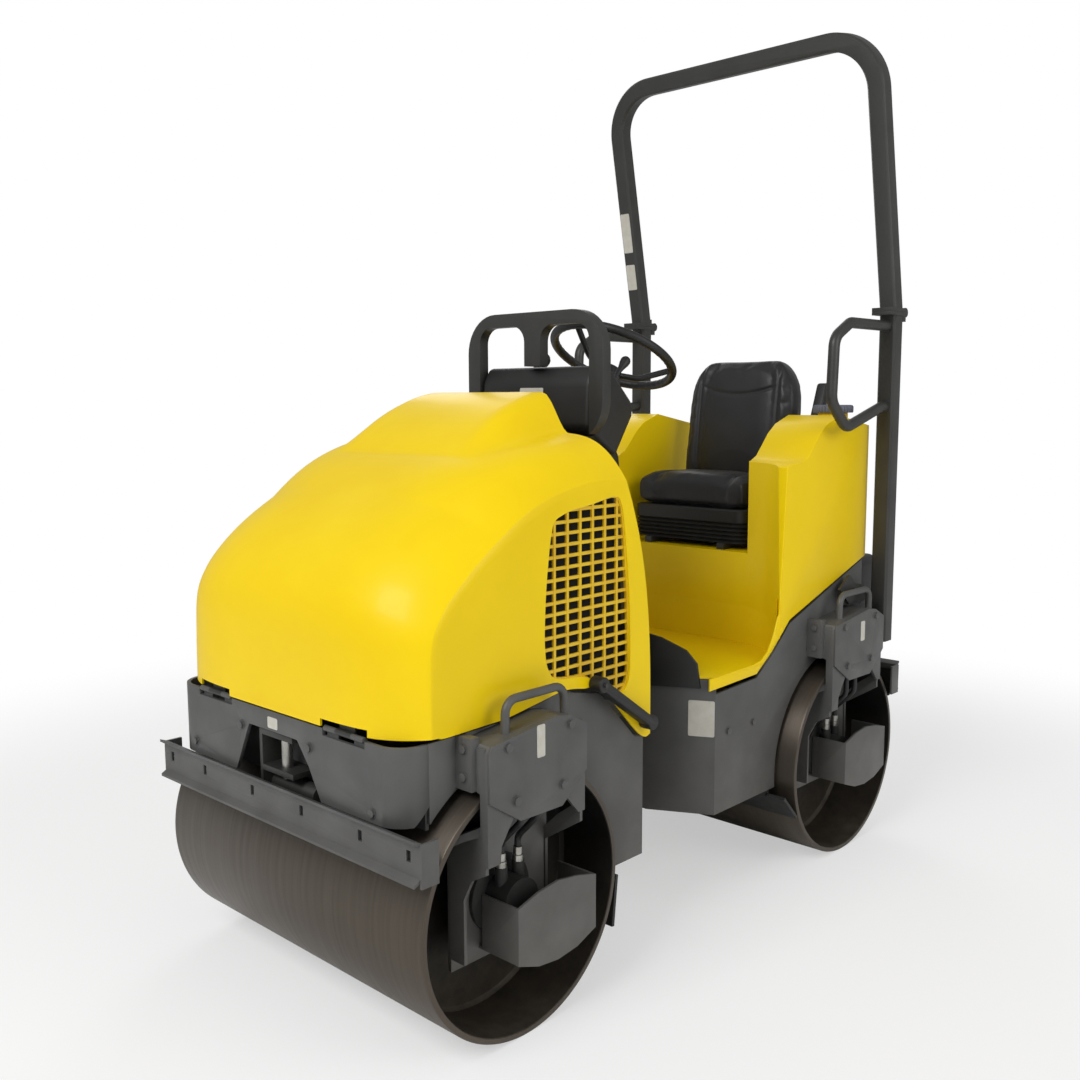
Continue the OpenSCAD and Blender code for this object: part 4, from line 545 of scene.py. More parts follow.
def tube(points, radius, bend, material, sides=24):
    return grown(pathMesh(points), tubeTree, {"Radius": radius * mm, "Bend": bend * mm, "Sides": sides,
                                             "Material": material})


# plate work with worked edges
plateEdges = {  # node: edge radius in mm
    "front_chassis": 1.2, "rear_chassis": 1.2, "front_leg_left": 1.6, "front_leg_right": 1.6,
    "rear_leg_left": 1.6, "rear_leg_right": 1.6, "front_leg_covers": 2, "rear_leg_covers": 2,
    "front_scraper_beam": 1.5, "rear_scraper_beam": 1.5, "front_apron": 1.6, "tow_bracket": 1.5,
}


def bodyOf(node):
    for name, nodes in frame["record"]["behaviour"]["bodies"].items():
        if node in nodes:
            return name


def slotOf(node):
    return next(s["material_slot"] for s in frame["record"]["subparts"] if s["node"] == node)


def workedEdges(node, width, material, steps=2):
    mesh = bevelled(wholeFaces(frame["nodes"][node].data.copy(), 0.02), width, steps)
    return piece(node + "_worked", mesh, bodyOf(node), slotOf(node), [material], [node])


for node, width in plateEdges.items():
    workedEdges(node, width, darkPowderCoat if node == "tow_bracket" else greyEnamel)
print("plate work is made")


# hood
hoodForm = {
    "nose": -940, "foot": 525, "reach": 735, "rise": 687, "half": 405, "rows": 110, "acrossTop": 80, "downSide": 26,
    "tumble": 0.01, "panelRise": 91, "panelFrom": 0.467, "panelTo": 0.837, "panelEdges": (0.46, 0.66),
    "panelPower": 1.7, "crownShare": 0.6, "crownPowers": (6, 3.5, 10), "wall": 5,
    "top": [(0, 0.19), (0, 0.34), (0.003, 0.488), (0.025, 0.582), (0.082, 0.67), (0.163, 0.75), (0.272, 0.827),
            (0.408, 0.91), (0.544, 0.96), (0.694, 0.987), (0.837, 1)],
    "crease": [(0.1, 0.197), (0.1, 0.33), (0.109, 0.464), (0.147, 0.536), (0.197, 0.591), (0.265, 0.652),
               (0.354, 0.718), (0.468, 0.789), (0.589, 0.831), (0.735, 0.859), (0.884, 0.854)],
    "hem": [(0.125, 0.193), (0.145, 0.191), (0.204, 0.192), (0.286, 0.194), (0.37, 0.197), (0.483, 0.214),
            (0.596, 0.23), (0.68, 0.22), (0.773, 0.194), (0.946, 0.012), (1, 0)],
    "notchAt": 232, "notchWidth": 134, "notchFrom": 651, "notchTo": 671, "notchDepth": 35,
}
grilleForm = {
    "at": (-560, 632), "size": (282, 454), "columns": 7, "rows": 19, "bar": 7, "thick": 5, "face": 402, "bite": 6,
    "behind": 0.6, "rim": [(5, -4), (5, 1.5), (1.5, 2.8), (-2.5, 1.5), (-2.5, -6)], "screen": (12, 30, 27),
    "outline": [(0, 0.37), (0.02, 0.6), (0.07, 0.82), (0.11, 0.91), (0.3, 0.948), (0.47, 0.958), (0.85, 1),
                (0.915, 0.92), (0.99, 0.47), (1, 0.07), (0.86, 0), (0.71, 0.053), (0.48, 0.154), (0.1, 0.174),
                (0.02, 0.25)],
}


def mix(a, b, share):
    return a + (b - a) * share


def clamped(value):
    return min(max(value, 0), 1)


def eased(value):
    return value * value * (3 - 2 * value)


def curveAt(points, t):
    n = len(points) - 1
    s = t * n
    i = min(int(s), n - 1)
    f = s - i
    a, b, c, d = (Vector(points[k]) for k in (max(i - 1, 0), i, i + 1, min(i + 2, n)))
    return (2 * b + (c - a) * f + (2 * a - 5 * b + 4 * c - d) * f * f + (3 * b - a - 3 * c + d) * f ** 3) / 2


def hoodLine(form, name, t):
    p = curveAt(form[name], t)
    return form["nose"] + p[0] * form["reach"], form["foot"] + p[1] * form["rise"]


def hoodPoint(form, u, v, t):
    half = form["half"] * (1 - form["tumble"] * t * t)
    crease = hoodLine(form, "crease", t)
    if v > 0:
        hem = hoodLine(form, "hem", t)
        f = 1 - (1 - v) ** 3
        return (u * mix(half, form["half"], f), mix(crease[0], hem[0], f), mix(crease[1], hem[1], v))
    low, middle, high = form["crownPowers"]
    share = form["crownShare"]
    power = mix(low, middle, t / share) if t < share else mix(middle, high, (t - share) / (1 - share))
    top = hoodLine(form, "top", t)
    f = 1 - abs(u) ** power
    y, z = mix(crease[0], top[0], f), mix(crease[1], top[1], f)
    along = clamped(((y - form["nose"]) / form["reach"] - form["panelFrom"]) / (form["panelTo"] - form["panelFrom"]))
    across = clamped((abs(u) - form["panelEdges"][0]) / (form["panelEdges"][1] - form["panelEdges"][0]))
    return (u * half, y, z + form["panelRise"] * (1 - eased(across)) * (1 - (1 - along) ** form["panelPower"]))


def makeHoodSkin(form):
    side = [(k + 1) / form["downSide"] for k in range(form["downSide"])]
    top = [math.sin(math.pi / 2 * k / (form["acrossTop"] / 2)) for k in range(1, form["acrossTop"] // 2 + 1)]
    columns = [(-1, v) for v in reversed(side)] + [(-u, 0) for u in reversed(top)] + [(0, 0)]
    columns += [(u, 0) for u in top] + [(1, v) for v in side]
    n = len(columns)
    rows = form["rows"]
    points = [Vector(hoodPoint(form, u, v, i / rows)) * mm for i in range(rows + 1) for u, v in columns]
    faces = [(i * n + j, (i + 1) * n + j, (i + 1) * n + j + 1, i * n + j + 1)
             for i in range(rows) for j in range(n - 1)]
    return walled("hoodSkin", meshFrom("hoodSkin", points, faces), form["wall"] * mm)


def rounder(points, times=2):  # cuts the corners of a closed outline
    for _ in range(times):
        points = [Vector(a).lerp(Vector(b), f) for a, b in zip(points, points[1:] + points[:1]) for f in (0.2, 0.8)]
    return [tuple(p) for p in points]


def laid(shares, at, size):
    return [((at[0] + a * size[0]) * mm, (at[1] + b * size[1]) * mm) for a, b in shares]


grilleLine = rounder(laid(grilleForm["outline"], grilleForm["at"], grilleForm["size"]))


def makeHood(form):
    mesh = makeHoodSkin(form)
    mesh = cutOrAdd(mesh, prism(grilleLine, "x", -0.5, 0.5), "DIFFERENCE")
    for s in (-1, 1):
        x = s * form["notchAt"] * mm
        w = form["notchWidth"] * mm / 2
        notch = brick((x - w, form["nose"] * mm - 0.01, form["notchFrom"] * mm - 0.02),
                      (x + w, (form["nose"] + form["notchDepth"]) * mm, form["notchTo"] * mm))
        mesh = cutOrAdd(mesh, notch, "DIFFERENCE")
    return piece("hoodShell", mesh, "hood", "yellow_paint", [yellowGelcoat], ["hood"], angle=38)


def inside(point, outline):
    y, z = point
    hit = False
    for (a, b), (c, d) in zip(outline, outline[1:] + outline[:1]):
        if (b > z) != (d > z) and y < (c - a) * (z - b) / (d - b) + a:
            hit = not hit
    return hit


def runs(outline, axis, value, step=0.001):  # where a straight bar lies inside the outline
    low = min(p[1 - axis] for p in outline)
    high = max(p[1 - axis] for p in outline)
    found, start = [], None
    k = low
    while k <= high + step:
        at = (value, k) if axis == 0 else (k, value)
        if inside(at, outline) and start is None:
            start = k
        if not inside(at, outline) and start is not None:
            found.append((start, k))
            start = None
        k += step
    return found


def makeGrille(form):
    (y0, z0), (w, h) = form["at"], form["size"]
    face, thick, bar, bite = (form[k] * mm for k in ("face", "thick", "bar", "bite"))
    spots, sizes = [], []
    for i in range(1, form["columns"]):
        y = (y0 + w * i / form["columns"]) * mm
        for a, b in runs(grilleLine, 0, y):
            spots.append((face - thick / 2, y, (a + b) / 2))
            sizes.append((thick, bar, b - a + bite))
    for j in range(1, form["rows"]):
        z = (z0 + h * j / form["rows"]) * mm
        for a, b in runs(grilleLine, 1, z):
            spots.append((face - thick / 2 - form["behind"] * mm, (a + b) / 2, z))
            sizes.append((thick, b - a + bite, bar))
    # the bars take the darker copy of the gelcoat, which is painted shade
    left = grown(pointMesh(spots, "barSize", sizes), barTree, {"Material": yellowBars})
    middle = Vector(((y0 + w / 2) * mm, (z0 + h / 2) * mm))

    def moved(out):  # the opening's outline, wider by this much
        return [Vector(p) + (Vector(p) - middle).normalized() * out for p in grilleLine]

    n, m = len(grilleLine), len(form["rim"])
    rings = [(face + x * mm, *p) for out, x in form["rim"] for p in moved(out * mm)]
    faces = [(r * n + i, ((r + 1) % m) * n + i, ((r + 1) % m) * n + (i + 1) % n, r * n + (i + 1) % n)
             for r in range(m) for i in range(n)]
    rim = outward(meshFrom("rim", rings, faces))
    both = bothSides(combined("grille", [left, rim]))
    piece("grilleLattice", both, "hood", "yellow_paint", [yellowBars], ["hood_grilles"])
    # a near-black sheet behind each opening: painted shade for the dark inside of the hood
    wide, deep, front = (k * mm for k in form["screen"])
    screen = prism([tuple(p) for p in moved(wide)], "x", face - deep, face - front)
    piece("grilleScreen", bothSides(screen), "hood", "black_plastic", [screenFelt])


makeHood(hoodForm)
makeGrille(grilleForm)
print("hood and grilles are made")


# moulded body over the rear drum
bodyForm = {
    "at": (-7, 572), "size": (839, 671), "half": 400, "inner": 235, "floor": 603, "seatBox": 860, "edge": 18,
    "wall": 4, "cheek": 5, "between": 391, "wallFoot": 760, "behind": 0.4,
    "side": [(0.4, 0.08), (0.44, 0.25), (0.471, 0.8), (0.485, 0.811), (0.56, 0.815), (0.595, 0.835), (0.63, 0.88),
             (0.664, 0.925), (0.71, 0.965), (0.793, 1), (1, 0.954), (1, 0.387), (0.505, 0.188), (0.403, 0.08)],
    "cheekLine": [(0.065, 0), (0.065, 0.046), (0.3, 0.05), (0.345, 0.058), (0.38, 0.085), (0.41, 0.14), (0.435, 0.21),
                  (0.45, 0.235), (0.47, 0.235), (0.47, 0.15), (0.403, 0.08), (0.317, 0.009)],
    "front": [(-1, 0.44), (-0.92, 0.475), (-0.78, 0.52), (-0.58, 0.555), (0.58, 0.555), (0.78, 0.52), (0.92, 0.475),
              (1, 0.44)],
    "nose": [(-400, 73), (-247, -8), (247, -8), (400, 73)], "floorEnds": (290, 462),
    "neck": (330, 745, 42, 34.5, 1206, 1249, 2),
}


def makeMouldedBody(form):
    half, inner, wall = form["half"] * mm, form["inner"] * mm, form["wall"] * mm
    y0, deep = form["at"][0], form["size"][0]
    solid = prism(laid(form["side"], form["at"], form["size"]), "x", -half, half)
    plan = [(a * half, (y0 + b * deep) * mm) for a, b in form["front"]]
    solid = cutOrAdd(solid, prism(plan + [(half + 0.1, -0.2), (-half - 0.1, -0.2)], "z", 0.1, 1.4), "DIFFERENCE")
    solid = cutOrAdd(solid, brick((-inner, -0.3, form["seatBox"] * mm), (inner, 0.9, 1.5)), "DIFFERENCE")
    mesh = bevelled(wholeFaces(solid, 0.05), form["edge"], 4, 33)

    def openBelow(work):
        under = [f for f in work.faces if f.normal.z < -0.25]
        bmesh.ops.delete(work, geom=under, context="FACES")

    mesh = walled("bodyShell", edited(mesh, openBelow), wall)
    behind = form["behind"] * mm
    line = laid(form["cheekLine"], form["at"], form["size"])
    cheek = bevelled(prism(line, "x", half - form["cheek"] * mm, half - behind), 1.5, 2)
    between = form["between"] * mm
    near, far = (k * mm for k in form["floorEnds"])
    outline = [(x * mm, y * mm) for x, y in form["nose"]] + [(half, near), (between, near), (between, far),
                                                            (-between, far), (-between, near), (-half, near)]
    floor = bevelled(prism(outline, "z", form["floor"] * mm - 0.005, form["floor"] * mm), 1, 2)
    line = [(max(min(a, between), -between), b + behind) for a, b in plan]
    ribbon = line + [(a, b + wall) for a, b in reversed(line)]
    foot = prism(ribbon, "z", form["floor"] * mm - 0.004, form["wallFoot"] * mm)
    mesh = combined("body", [mesh, cheek, mirroredCopy(cheek), floor, foot])
    x, y, r, bore, low, high, edge = (k * mm for k in form["neck"])
    neck = [(r, low), (r, high - edge), (r - edge, high), (bore + 0.75 * edge, high), (bore, high - edge),
            (bore, low)]
    neck = spun(neck, 48, (x, y, 0), (0, 0, 1), closed=True)
    piece("mouldedBody", combined("body", [mesh, neck]), "rear_frame", "yellow_paint", [yellowGelcoat], ["rear_body"])


makeMouldedBody(bodyForm)
print("moulded body is made")


# drums
drumForm = {"radius": 280, "half": 450, "shell": 13, "recess": 150, "disc": 14, "boss": 85, "bossLength": 75,
            "bore": 40.05, "journal": 25.05, "stub": 42.3, "steps": 192, "edge": 3, "weld": 8, "chamfer": 2}


def makeDrum(form, y, body, node):
    f = {k: v * mm for k, v in form.items() if k != "steps"}
    r, h, e, inner = f["radius"], f["half"], f["edge"], f["radius"] - f["shell"]
    place, axis = (0, y, f["radius"]), (1, 0, 0)
    shell = [(r, -h + e), (r - e * 0.3, -h + e * 0.3), (r - e, -h), (inner + e * 0.5, -h), (inner, -h + e * 0.5),
             (inner, h - e * 0.5), (inner + e * 0.5, h), (r - e, h), (r - e * 0.3, h - e * 0.3), (r, h - e)]
    parts = [spun(shell, form["steps"], place, axis, closed=True)]
    d, weld, cut, bore, end = h - f["recess"], f["weld"], f["chamfer"], f["bore"], f["bossLength"]
    disc = [(inner, d + weld), (inner - weld * 0.5, d + weld * 0.4), (inner - weld, d), (bore + cut, d),
            (bore, d - cut), (bore, d - f["stub"]), (f["journal"], d - f["stub"]), (f["journal"], d - end),
            (f["boss"], d - end), (f["boss"], d - f["disc"]), (inner, d - f["disc"])]
    for s in (-1, 1):
        parts.append(spun([(a, s * b) for a, b in disc], form["steps"], place, axis, closed=True))
    mesh = combined(node, parts)
    piece(node + "_turned", mesh, body, "drum_steel", [rolledSteel, millScale], [node])
    # faces inside the shell take the near-black painted shade of the hollow
    for face in mesh.polygons:
        c = face.center
        out = math.hypot(c.y - y, c.z - f["radius"])
        face.material_index = 0 if out > inner + 0.001 else 1


makeDrum(drumForm, -0.655, "front_drum", "front_drum")
makeDrum(drumForm, 0.655, "rear_drum", "rear_drum")
print("drums are made")


# seat
seatForm = {
    "voxel": 6, "shrink": 5, "pressure": 4, "cap": 9, "frames": 20, "channelWidth": 7, "channelDepth": 5,
    "channel": {"seat_cushion": 0.66, "seat_backrest": 0.68},
    "crease": {"at": 1305, "half": 115, "rise": 18, "width": 5, "depth": 4}}


def stuffed(node, form):
    mesh = edited(frame["nodes"][node].data.copy(), lambda work: joined(work, 0.02))
    low, high = (Vector(v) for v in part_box(node))
    middle, size = (low + high) / 2, high - low
    shrink = Matrix.Diagonal([1 - 2 * form["shrink"] * mm / s for s in size]).to_4x4()
    mesh.transform(Matrix.Translation(middle) @ shrink @ Matrix.Translation(-middle))
    pad = loose(node + "_pad", mesh)
    fine = pad.modifiers.new("voxels", "REMESH")
    fine.mode = "VOXEL"
    fine.voxel_size = form["voxel"] * mm
    pad = loose(node + "_pad", baked(pad))
    rest = [v.co.copy() for v in pad.data.vertices]
    cloth = pad.modifiers.new("puff", "CLOTH")
    cloth.settings.use_pressure = True
    cloth.settings.uniform_pressure_force = form["pressure"]
    cloth.settings.effector_weights.gravity = 0
    cloth.settings.quality = 4
    cloth.collision_settings.use_collision = False
    for k in range(1, form["frames"] + 1):
        scene.frame_set(k)
    mesh = baked(pad)
    scene.frame_set(1)
    cap = form["cap"] * mm
    for v, start in zip(mesh.vertices, rest):
        move = v.co - start
        if move.length > cap:
            v.co = start + move * (cap / move.length)
    pad = loose(node + "_pad", mesh)
    smooth = pad.modifiers.new("smooth", "SMOOTH")
    smooth.iterations = 4
    smooth.factor = 0.5
    finer = pad.modifiers.new("finer", "SUBSURF")
    finer.levels = finer.render_levels = 1
    return baked(pad)


def makePad(node, name, form, up, body):
    mesh = stuffed(node, form)
    low, high = (Vector(v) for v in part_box(node))
    half = (high.x - low.x) / 2
    crease = form["crease"]
    normals = [v.normal.copy() for v in mesh.vertices]
    for v, normal in zip(mesh.vertices, normals):
        face = clamped(normal.dot(up) * 1.6 - 0.4)
        off = (abs(v.co.x) - form["channel"][node] * half) / (form["channelWidth"] * mm)
        dip = math.exp(-off * off) * form["channelDepth"]
        if node == "seat_backrest":  # the smile under the head area
            along = v.co.x / (crease["half"] * mm)
            if abs(along) < 1.25:
                off = (v.co.z / mm - crease["at"] - crease["rise"] * along * along) / crease["width"]
                dip = max(dip, math.exp(-off * off) * crease["depth"] * clamped((1.25 - abs(along)) * 3))
        v.co -= up * (dip * face * mm)
        for axis in range(3):
            v.co[axis] = min(max(v.co[axis], low[axis]), high[axis])
    made = piece(name, mesh, body, "vinyl", [seatVinyl], [node], angle=80)
    return made


makePad("seat_cushion", "seatCushion", seatForm, Vector((0, 0, 1)), "seat")
makePad("seat_backrest", "seatBackrest", seatForm, Vector((0, -0.9925, 0.1219)), "seat")
print("seat is made")

# bolts
boltForm = {"headRadius": 8.5, "headHeight": 5.2, "washerRadius": 11.5,
            "legAt": [(-81.6, 349.9), (97.6, 358.3), (-59.2, 238.0), (74.1, 238.0)],
            "apronAt": [(-322, 523), (-129, 599), (118, 600), (318, 515)],
            "flangeAt": [(422, 575), (422, 630)], "wallAt": [(130, 454), (245, 453)]}


def makeBolts(name, form, axle, lift, extra, body, replaced):
    spots, facing = [], []
    for y, z in form["legAt"]:
        for s in (-1, 1):
            spots.append(Vector((s * 480, axle + y, 280 + lift + z)) * mm)
            facing.append((s, 0, 0))
    for x, z in form["flangeAt"]:
        for s in (-1, 1):
            spots.append(Vector((s * x, axle - 145, z + lift)) * mm)
            facing.append((0, -1, 0))
    for at, way in extra:
        spots.append(Vector(at) * mm)
        facing.append(way)
    mesh = grown(pointMesh(spots, "facing", facing), boltTree, {
        "Head radius": form["headRadius"] * mm, "Head height": form["headHeight"] * mm,
        "Washer radius": form["washerRadius"] * mm, "Material": greyEnamel})
    piece(name, mesh, body, "frame_paint", [greyEnamel], [replaced])


makeBolts("frontHexBolts", boltForm, -655, 0, [((x, -940, z), (0, -1, 0)) for x, z in boltForm["apronAt"]],
          "front_frame", "front_bolts")
makeBolts("rearHexBolts", boltForm, 655, 35,
          [((s * 400, y, z), (s, 0, 0)) for y, z in boltForm["wallAt"] for s in (-1, 1)], "rear_frame", "rear_bolts")

# hoses and rails of round bar
hoseForm = {"radius": 7, "bend": 28, "crimp": 9.5, "nut": 11.5}


def makeHoses(name, form, axle, body, node):
    rubber, metal = [], []
    for s in (-1, 1):
        y = axle + s * 24
        run = [(399, y, 366), (399, y, 402), (458, y, 462), (458, y, 600), (408.3, y, 600)]
        rubber.append(tube([Vector(p) * mm for p in run], form["radius"], form["bend"], hoseRubber))
        nut = [(0, 0), (form["nut"], 0), (form["nut"], 13), (form["crimp"], 14), (form["crimp"], 30),
               (form["radius"], 31), (0, 31)]
        metal.append(turned(nut, 24, Vector((399, y, 350)) * mm, (0, 0, 1)))
    piece(name + "Rubber", combined(name, rubber), body, "rubber", [hoseRubber], [node], angle=60)
    piece(name + "Fittings", combined(name + "Metal", metal), body, "zinc_steel", [zincPlate])


makeHoses("frontHose", hoseForm, -655, "front_frame", "front_hoses")
makeHoses("rearHose", hoseForm, 655, "rear_frame", "rear_hoses")

railForm = {"radius": 15, "bend": 45, "line": [(819.7, 1492.8), (607.5, 1492.8), (525, 1450.7), (516.2, 1282.5),
                                               (598.7, 1210), (799.1, 1265.1), (819.7, 1265.1)]}
railLine = [Vector((450, y, z)) * mm for y, z in railForm["line"]]
railMesh = tube(railLine, railForm["radius"], railForm["bend"], darkPowderCoat)
piece("handRails", bothSides(railMesh), "rear_frame", "bar_paint", [darkPowderCoat], ["handrails"], angle=60)

for node, width in {"rops_lower": 2, "rops_upper": 2.5}.items():
    workedEdges(node, width, darkPowderCoat, 3)
for node, width in {"rear_cover": 3, "kick_panel": 1.5, "seat_belt": 7}.items():
    workedEdges(node, width, blackAbs, 3)
print("bolts, hoses and bars are made")

# operator's controls
wheelForm = {"radius": 165, "rim": 12, "grips": 44, "gripDepth": 1.3, "hub": 38, "hubTop": -34, "hubFoot": -68,
             "spoke": 8, "shaft": 18, "shaftFoot": -230, "around": 176, "aboutRim": 24}
wheelMove = Matrix.Translation((0, 0.150, 1.405)) @ Matrix.Rotation(math.radians(-28), 4, "X")


def makeWheel(form):
    points, faces = [], []
    n, m = form["around"], form["aboutRim"]
    for k in range(n):
        a = 2 * math.pi * k / n
        for j in range(m):
            b = 2 * math.pi * j / m
            inner = max(0, -math.cos(b)) * (0.5 + 0.5 * math.cos(form["grips"] * a))
            r = form["rim"] - form["gripDepth"] * inner
            reach = form["radius"] + r * math.cos(b)
            points.append(Vector((reach * math.cos(a), reach * math.sin(a), r * math.sin(b))) * mm)
            faces.append((k * m + j, ((k + 1) % n) * m + j, ((k + 1) % n) * m + (j + 1) % m, k * m + (j + 1) % m))
    parts = [outward(meshFrom("rim", points, faces))]
    hub, top, foot, shaft = form["hub"], form["hubTop"], form["hubFoot"], form["shaft"]
    profile = [(0, form["shaftFoot"]), (shaft, form["shaftFoot"]), (shaft, foot), (hub - 6, foot),
               (hub, foot + 6), (hub, top - 9), (hub - 4, top - 3), (hub - 12, top), (17, top), (15.1, top - 1.5),
               (15.1, top - 8), (0, top - 8)]
    parts.append(turned(profile, 48, (0, 0, 0), (0, 0, 1)))
    for k in range(3):
        a = math.radians(30 + 120 * k)
        line = [(26, -51), (86, -47), (160, -3)]
        path = [Vector((r * math.cos(a), r * math.sin(a), h)) * mm for r, h in line]
        parts.append(tube(path, form["spoke"], 60, blackAbs, 16))
    mesh = combined("wheel", parts)
    mesh.transform(wheelMove)
    piece("steeringWheel", mesh, "steering_wheel", "black_plastic", [blackAbs], ["steering_wheel"], angle=40)


makeWheel(wheelForm)

dashForm = {"middle": (-35.5, 1324.3), "axis": (0, 0.69966, 0.71447), "drop": 28,
            "pod": [(0, 0.32), (0.03, 0.82), (0.16, 1), (0.5, 0.97), (0.98, 0.6), (1, 0.45), (0.62, 0)],
            "podAt": (-165, 1150), "podSize": (175, 222), "podHalf": 185, "podEdge": 13,
            "column": [(0.05, 0), (1, 0), (1, 0.12), (0.3, 0.93), (0.05, 1), (-1.6, 1), (-1.6, 0.86), (-0.2, 0.8)],
            "columnAt": (80, 603), "columnSize": (90, 577), "columnHalf": 60, "columnEdge": 8}
dashAxis = Vector(dashForm["axis"])


def onDash(x, height=0):
    y, z = dashForm["middle"]
    return Vector((x, y, z)) * mm + dashAxis * height * mm


def makeConsole(form):
    pod = prism(laid(form["pod"], form["podAt"], form["podSize"]), "x", -form["podHalf"] * mm, form["podHalf"] * mm)
    pod = bevelled(pod, form["podEdge"], 5, 20)
    half = form["columnHalf"] * mm
    column = prism(laid(form["column"], form["columnAt"], form["columnSize"]), "x", -half, half)
    column = bevelled(column, form["columnEdge"], 3, 25)
    sleeve = [(18.2, -264), (30, -264), (30, -79), (27, -76), (18.2, -76)]
    sleeve = turned(sleeve, 40, (0, 0, 0), (0, 0, 1), closed=True)
    sleeve.transform(wheelMove)
    gauge = [(0, 1), (24, 1), (26, 4), (29, 4), (31, 2), (31, -4), (0, -4)]
    gauge = turned(gauge, 48, onDash(0), dashAxis)
    bezel = [(9.3, 2.5), (15, 2.5), (17, 0.5), (17, -4), (9.3, -4)]
    bezel = turned(bezel, 32, onDash(80), dashAxis, closed=True)
    mesh = combined("console", [pod, column, sleeve, gauge, bezel])
    piece("consolePod", mesh, "rear_frame", "black_plastic", [blackAbs], ["console"])


makeConsole(dashForm)


def makeLever(name, x, length, knob, node):
    shape = [(0, -34), (9, -34), (9, -22), (6, -16), (6, length * 0.55), (knob * 0.62, length * 0.72),
             (knob * 0.92, length * 0.9), (knob, length), (knob * 0.93, length + knob * 0.38),
             (knob * 0.7, length + knob * 0.72), (knob * 0.36, length + knob * 0.93), (0, length + knob)]
    mesh = turned(shape, 32, onDash(x), dashAxis)
    piece(name, mesh, node, "black_plastic", [blackAbs], [node], angle=50)
    folds = []
    for k in range(11):
        radius = mix(27, 8, k / 10) + (2 if k % 2 else -1)
        folds.append((radius, 34 * k / 10 - 1))
    boot = [(29, -3)] + folds + [(6.2, 34)]
    mesh = turned(boot, 40, onDash(x), dashAxis)
    made = loose(name + "Boot", shaded(mesh, 60))
    made.data.materials.append(hoseRubber)
    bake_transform(made)


makeLever("travelLever", -150, 100, 21, "travel_lever")
makeLever("throttleLever", 145, 85, 13, "throttle_lever")

capForm = {"at": (330, 745, 1249.3), "radius": 57, "height": 22, "ribs": 36, "depth": 3.2, "plug": 33.8,
           "plugDrop": 14, "around": 288}


def makeCap(form):
    n = form["around"]
    r, h, plug = form["radius"], form["height"], form["plug"]
    rings = [(plug, -form["plugDrop"], 0), (plug, 0, 0), (r - 1, 0, 1), (r, 3, 1), (r, h - 5, 1), (r - 3, h - 1, 0.3),
             (r - 8, h, 0), (30, h - 1.5, 0), (12, h - 2, 0)]
    points = []
    for radius, up, ribbed in rings:
        for k in range(n):
            a = 2 * math.pi * k / n
            groove = form["depth"] * ribbed * abs(math.sin(form["ribs"] * a / 2)) ** 3
            points.append(Vector((radius - groove) * Vector((math.cos(a), math.sin(a), 0)) + Vector((0, 0, up))) * mm)
    mesh = lofted("cap", points, n)
    grip = bevelled(brick((-0.03, -0.007, 0.018), (0.03, 0.007, 0.0219)), 2, 3)
    mesh = combined("cap", [mesh, grip])
    mesh.transform(Matrix.Translation(Vector(form["at"]) * mm))
    piece("waterCap", mesh, "water_cap", "cap_plastic", [capNylon], ["water_cap"], angle=40)


makeCap(capForm)
print("controls are made")

# seat pan with its folded skirt and the backrest's bracket
panForm = {"half": 200, "from": 490, "to": 815, "low": 878.3, "high": 974.3, "corner": 34, "folds": 5, "foldDepth": 7,
           "bracket": (120, 12, 259.5), "bracketFoot": (0, 796.66, 974.6), "lean": 7}


def roundedRing(x0, x1, y0, y1, r, z, steps=7):
    ring = []
    for cx, cy, start in ((x1 - r, y1 - r, 0), (x0 + r, y1 - r, 90), (x0 + r, y0 + r, 180), (x1 - r, y0 + r, 270)):
        for k in range(steps + 1):
            a = math.radians(start + 90 * k / steps)
            ring.append(Vector((cx + r * math.cos(a), cy + r * math.sin(a), z)) * mm)
    return ring


def makePan(form):
    levels = []
    height = form["high"] - form["low"]
    for k in range(2 * form["folds"] + 1):
        deep = form["foldDepth"] if k % 2 else 0
        levels.append((form["low"] + height * 0.62 * k / (2 * form["folds"]), deep))
    levels += [(form["low"] + height * 0.66, 0), (form["low"] + height * 0.7, 0), (form["high"] - 4, 0),
               (form["high"], 4)]
    half, near, far, corner = form["half"], form["from"], form["to"], form["corner"]
    rings = [roundedRing(-half + d, half - d, near + d, far - d, corner - d, z) for z, d in levels]
    pan = lofted("pan", [p for ring in rings for p in ring], len(rings[0]))
    wide, deep, high = (k * mm for k in form["bracket"])
    bracket = bevelled(brick((-wide / 2, 0, -0.5 * mm), (wide / 2, deep, high - 0.5 * mm)), 2, 2)
    foot = Matrix.Translation(Vector(form["bracketFoot"]) * mm)
    bracket.transform(foot @ Matrix.Rotation(math.radians(-form["lean"]), 4, "X"))
    piece("seatPan", combined("pan", [pan, bracket]), "seat", "black_plastic", [blackAbs], ["seat_pan"], angle=36)


makePan(panForm)
print("seat pan is made")

# frame round the console, with two windows over the pod
hoopForm = {"half": 230, "low": 1190, "high": 1505, "from": -165, "to": -135, "corner": 98, "foot": (170, 16),
            "opening": (187, 1201.1, 1372.3), "window": (27, 187, 1330, 1472), "windowCorner": 40, "edge": 8}


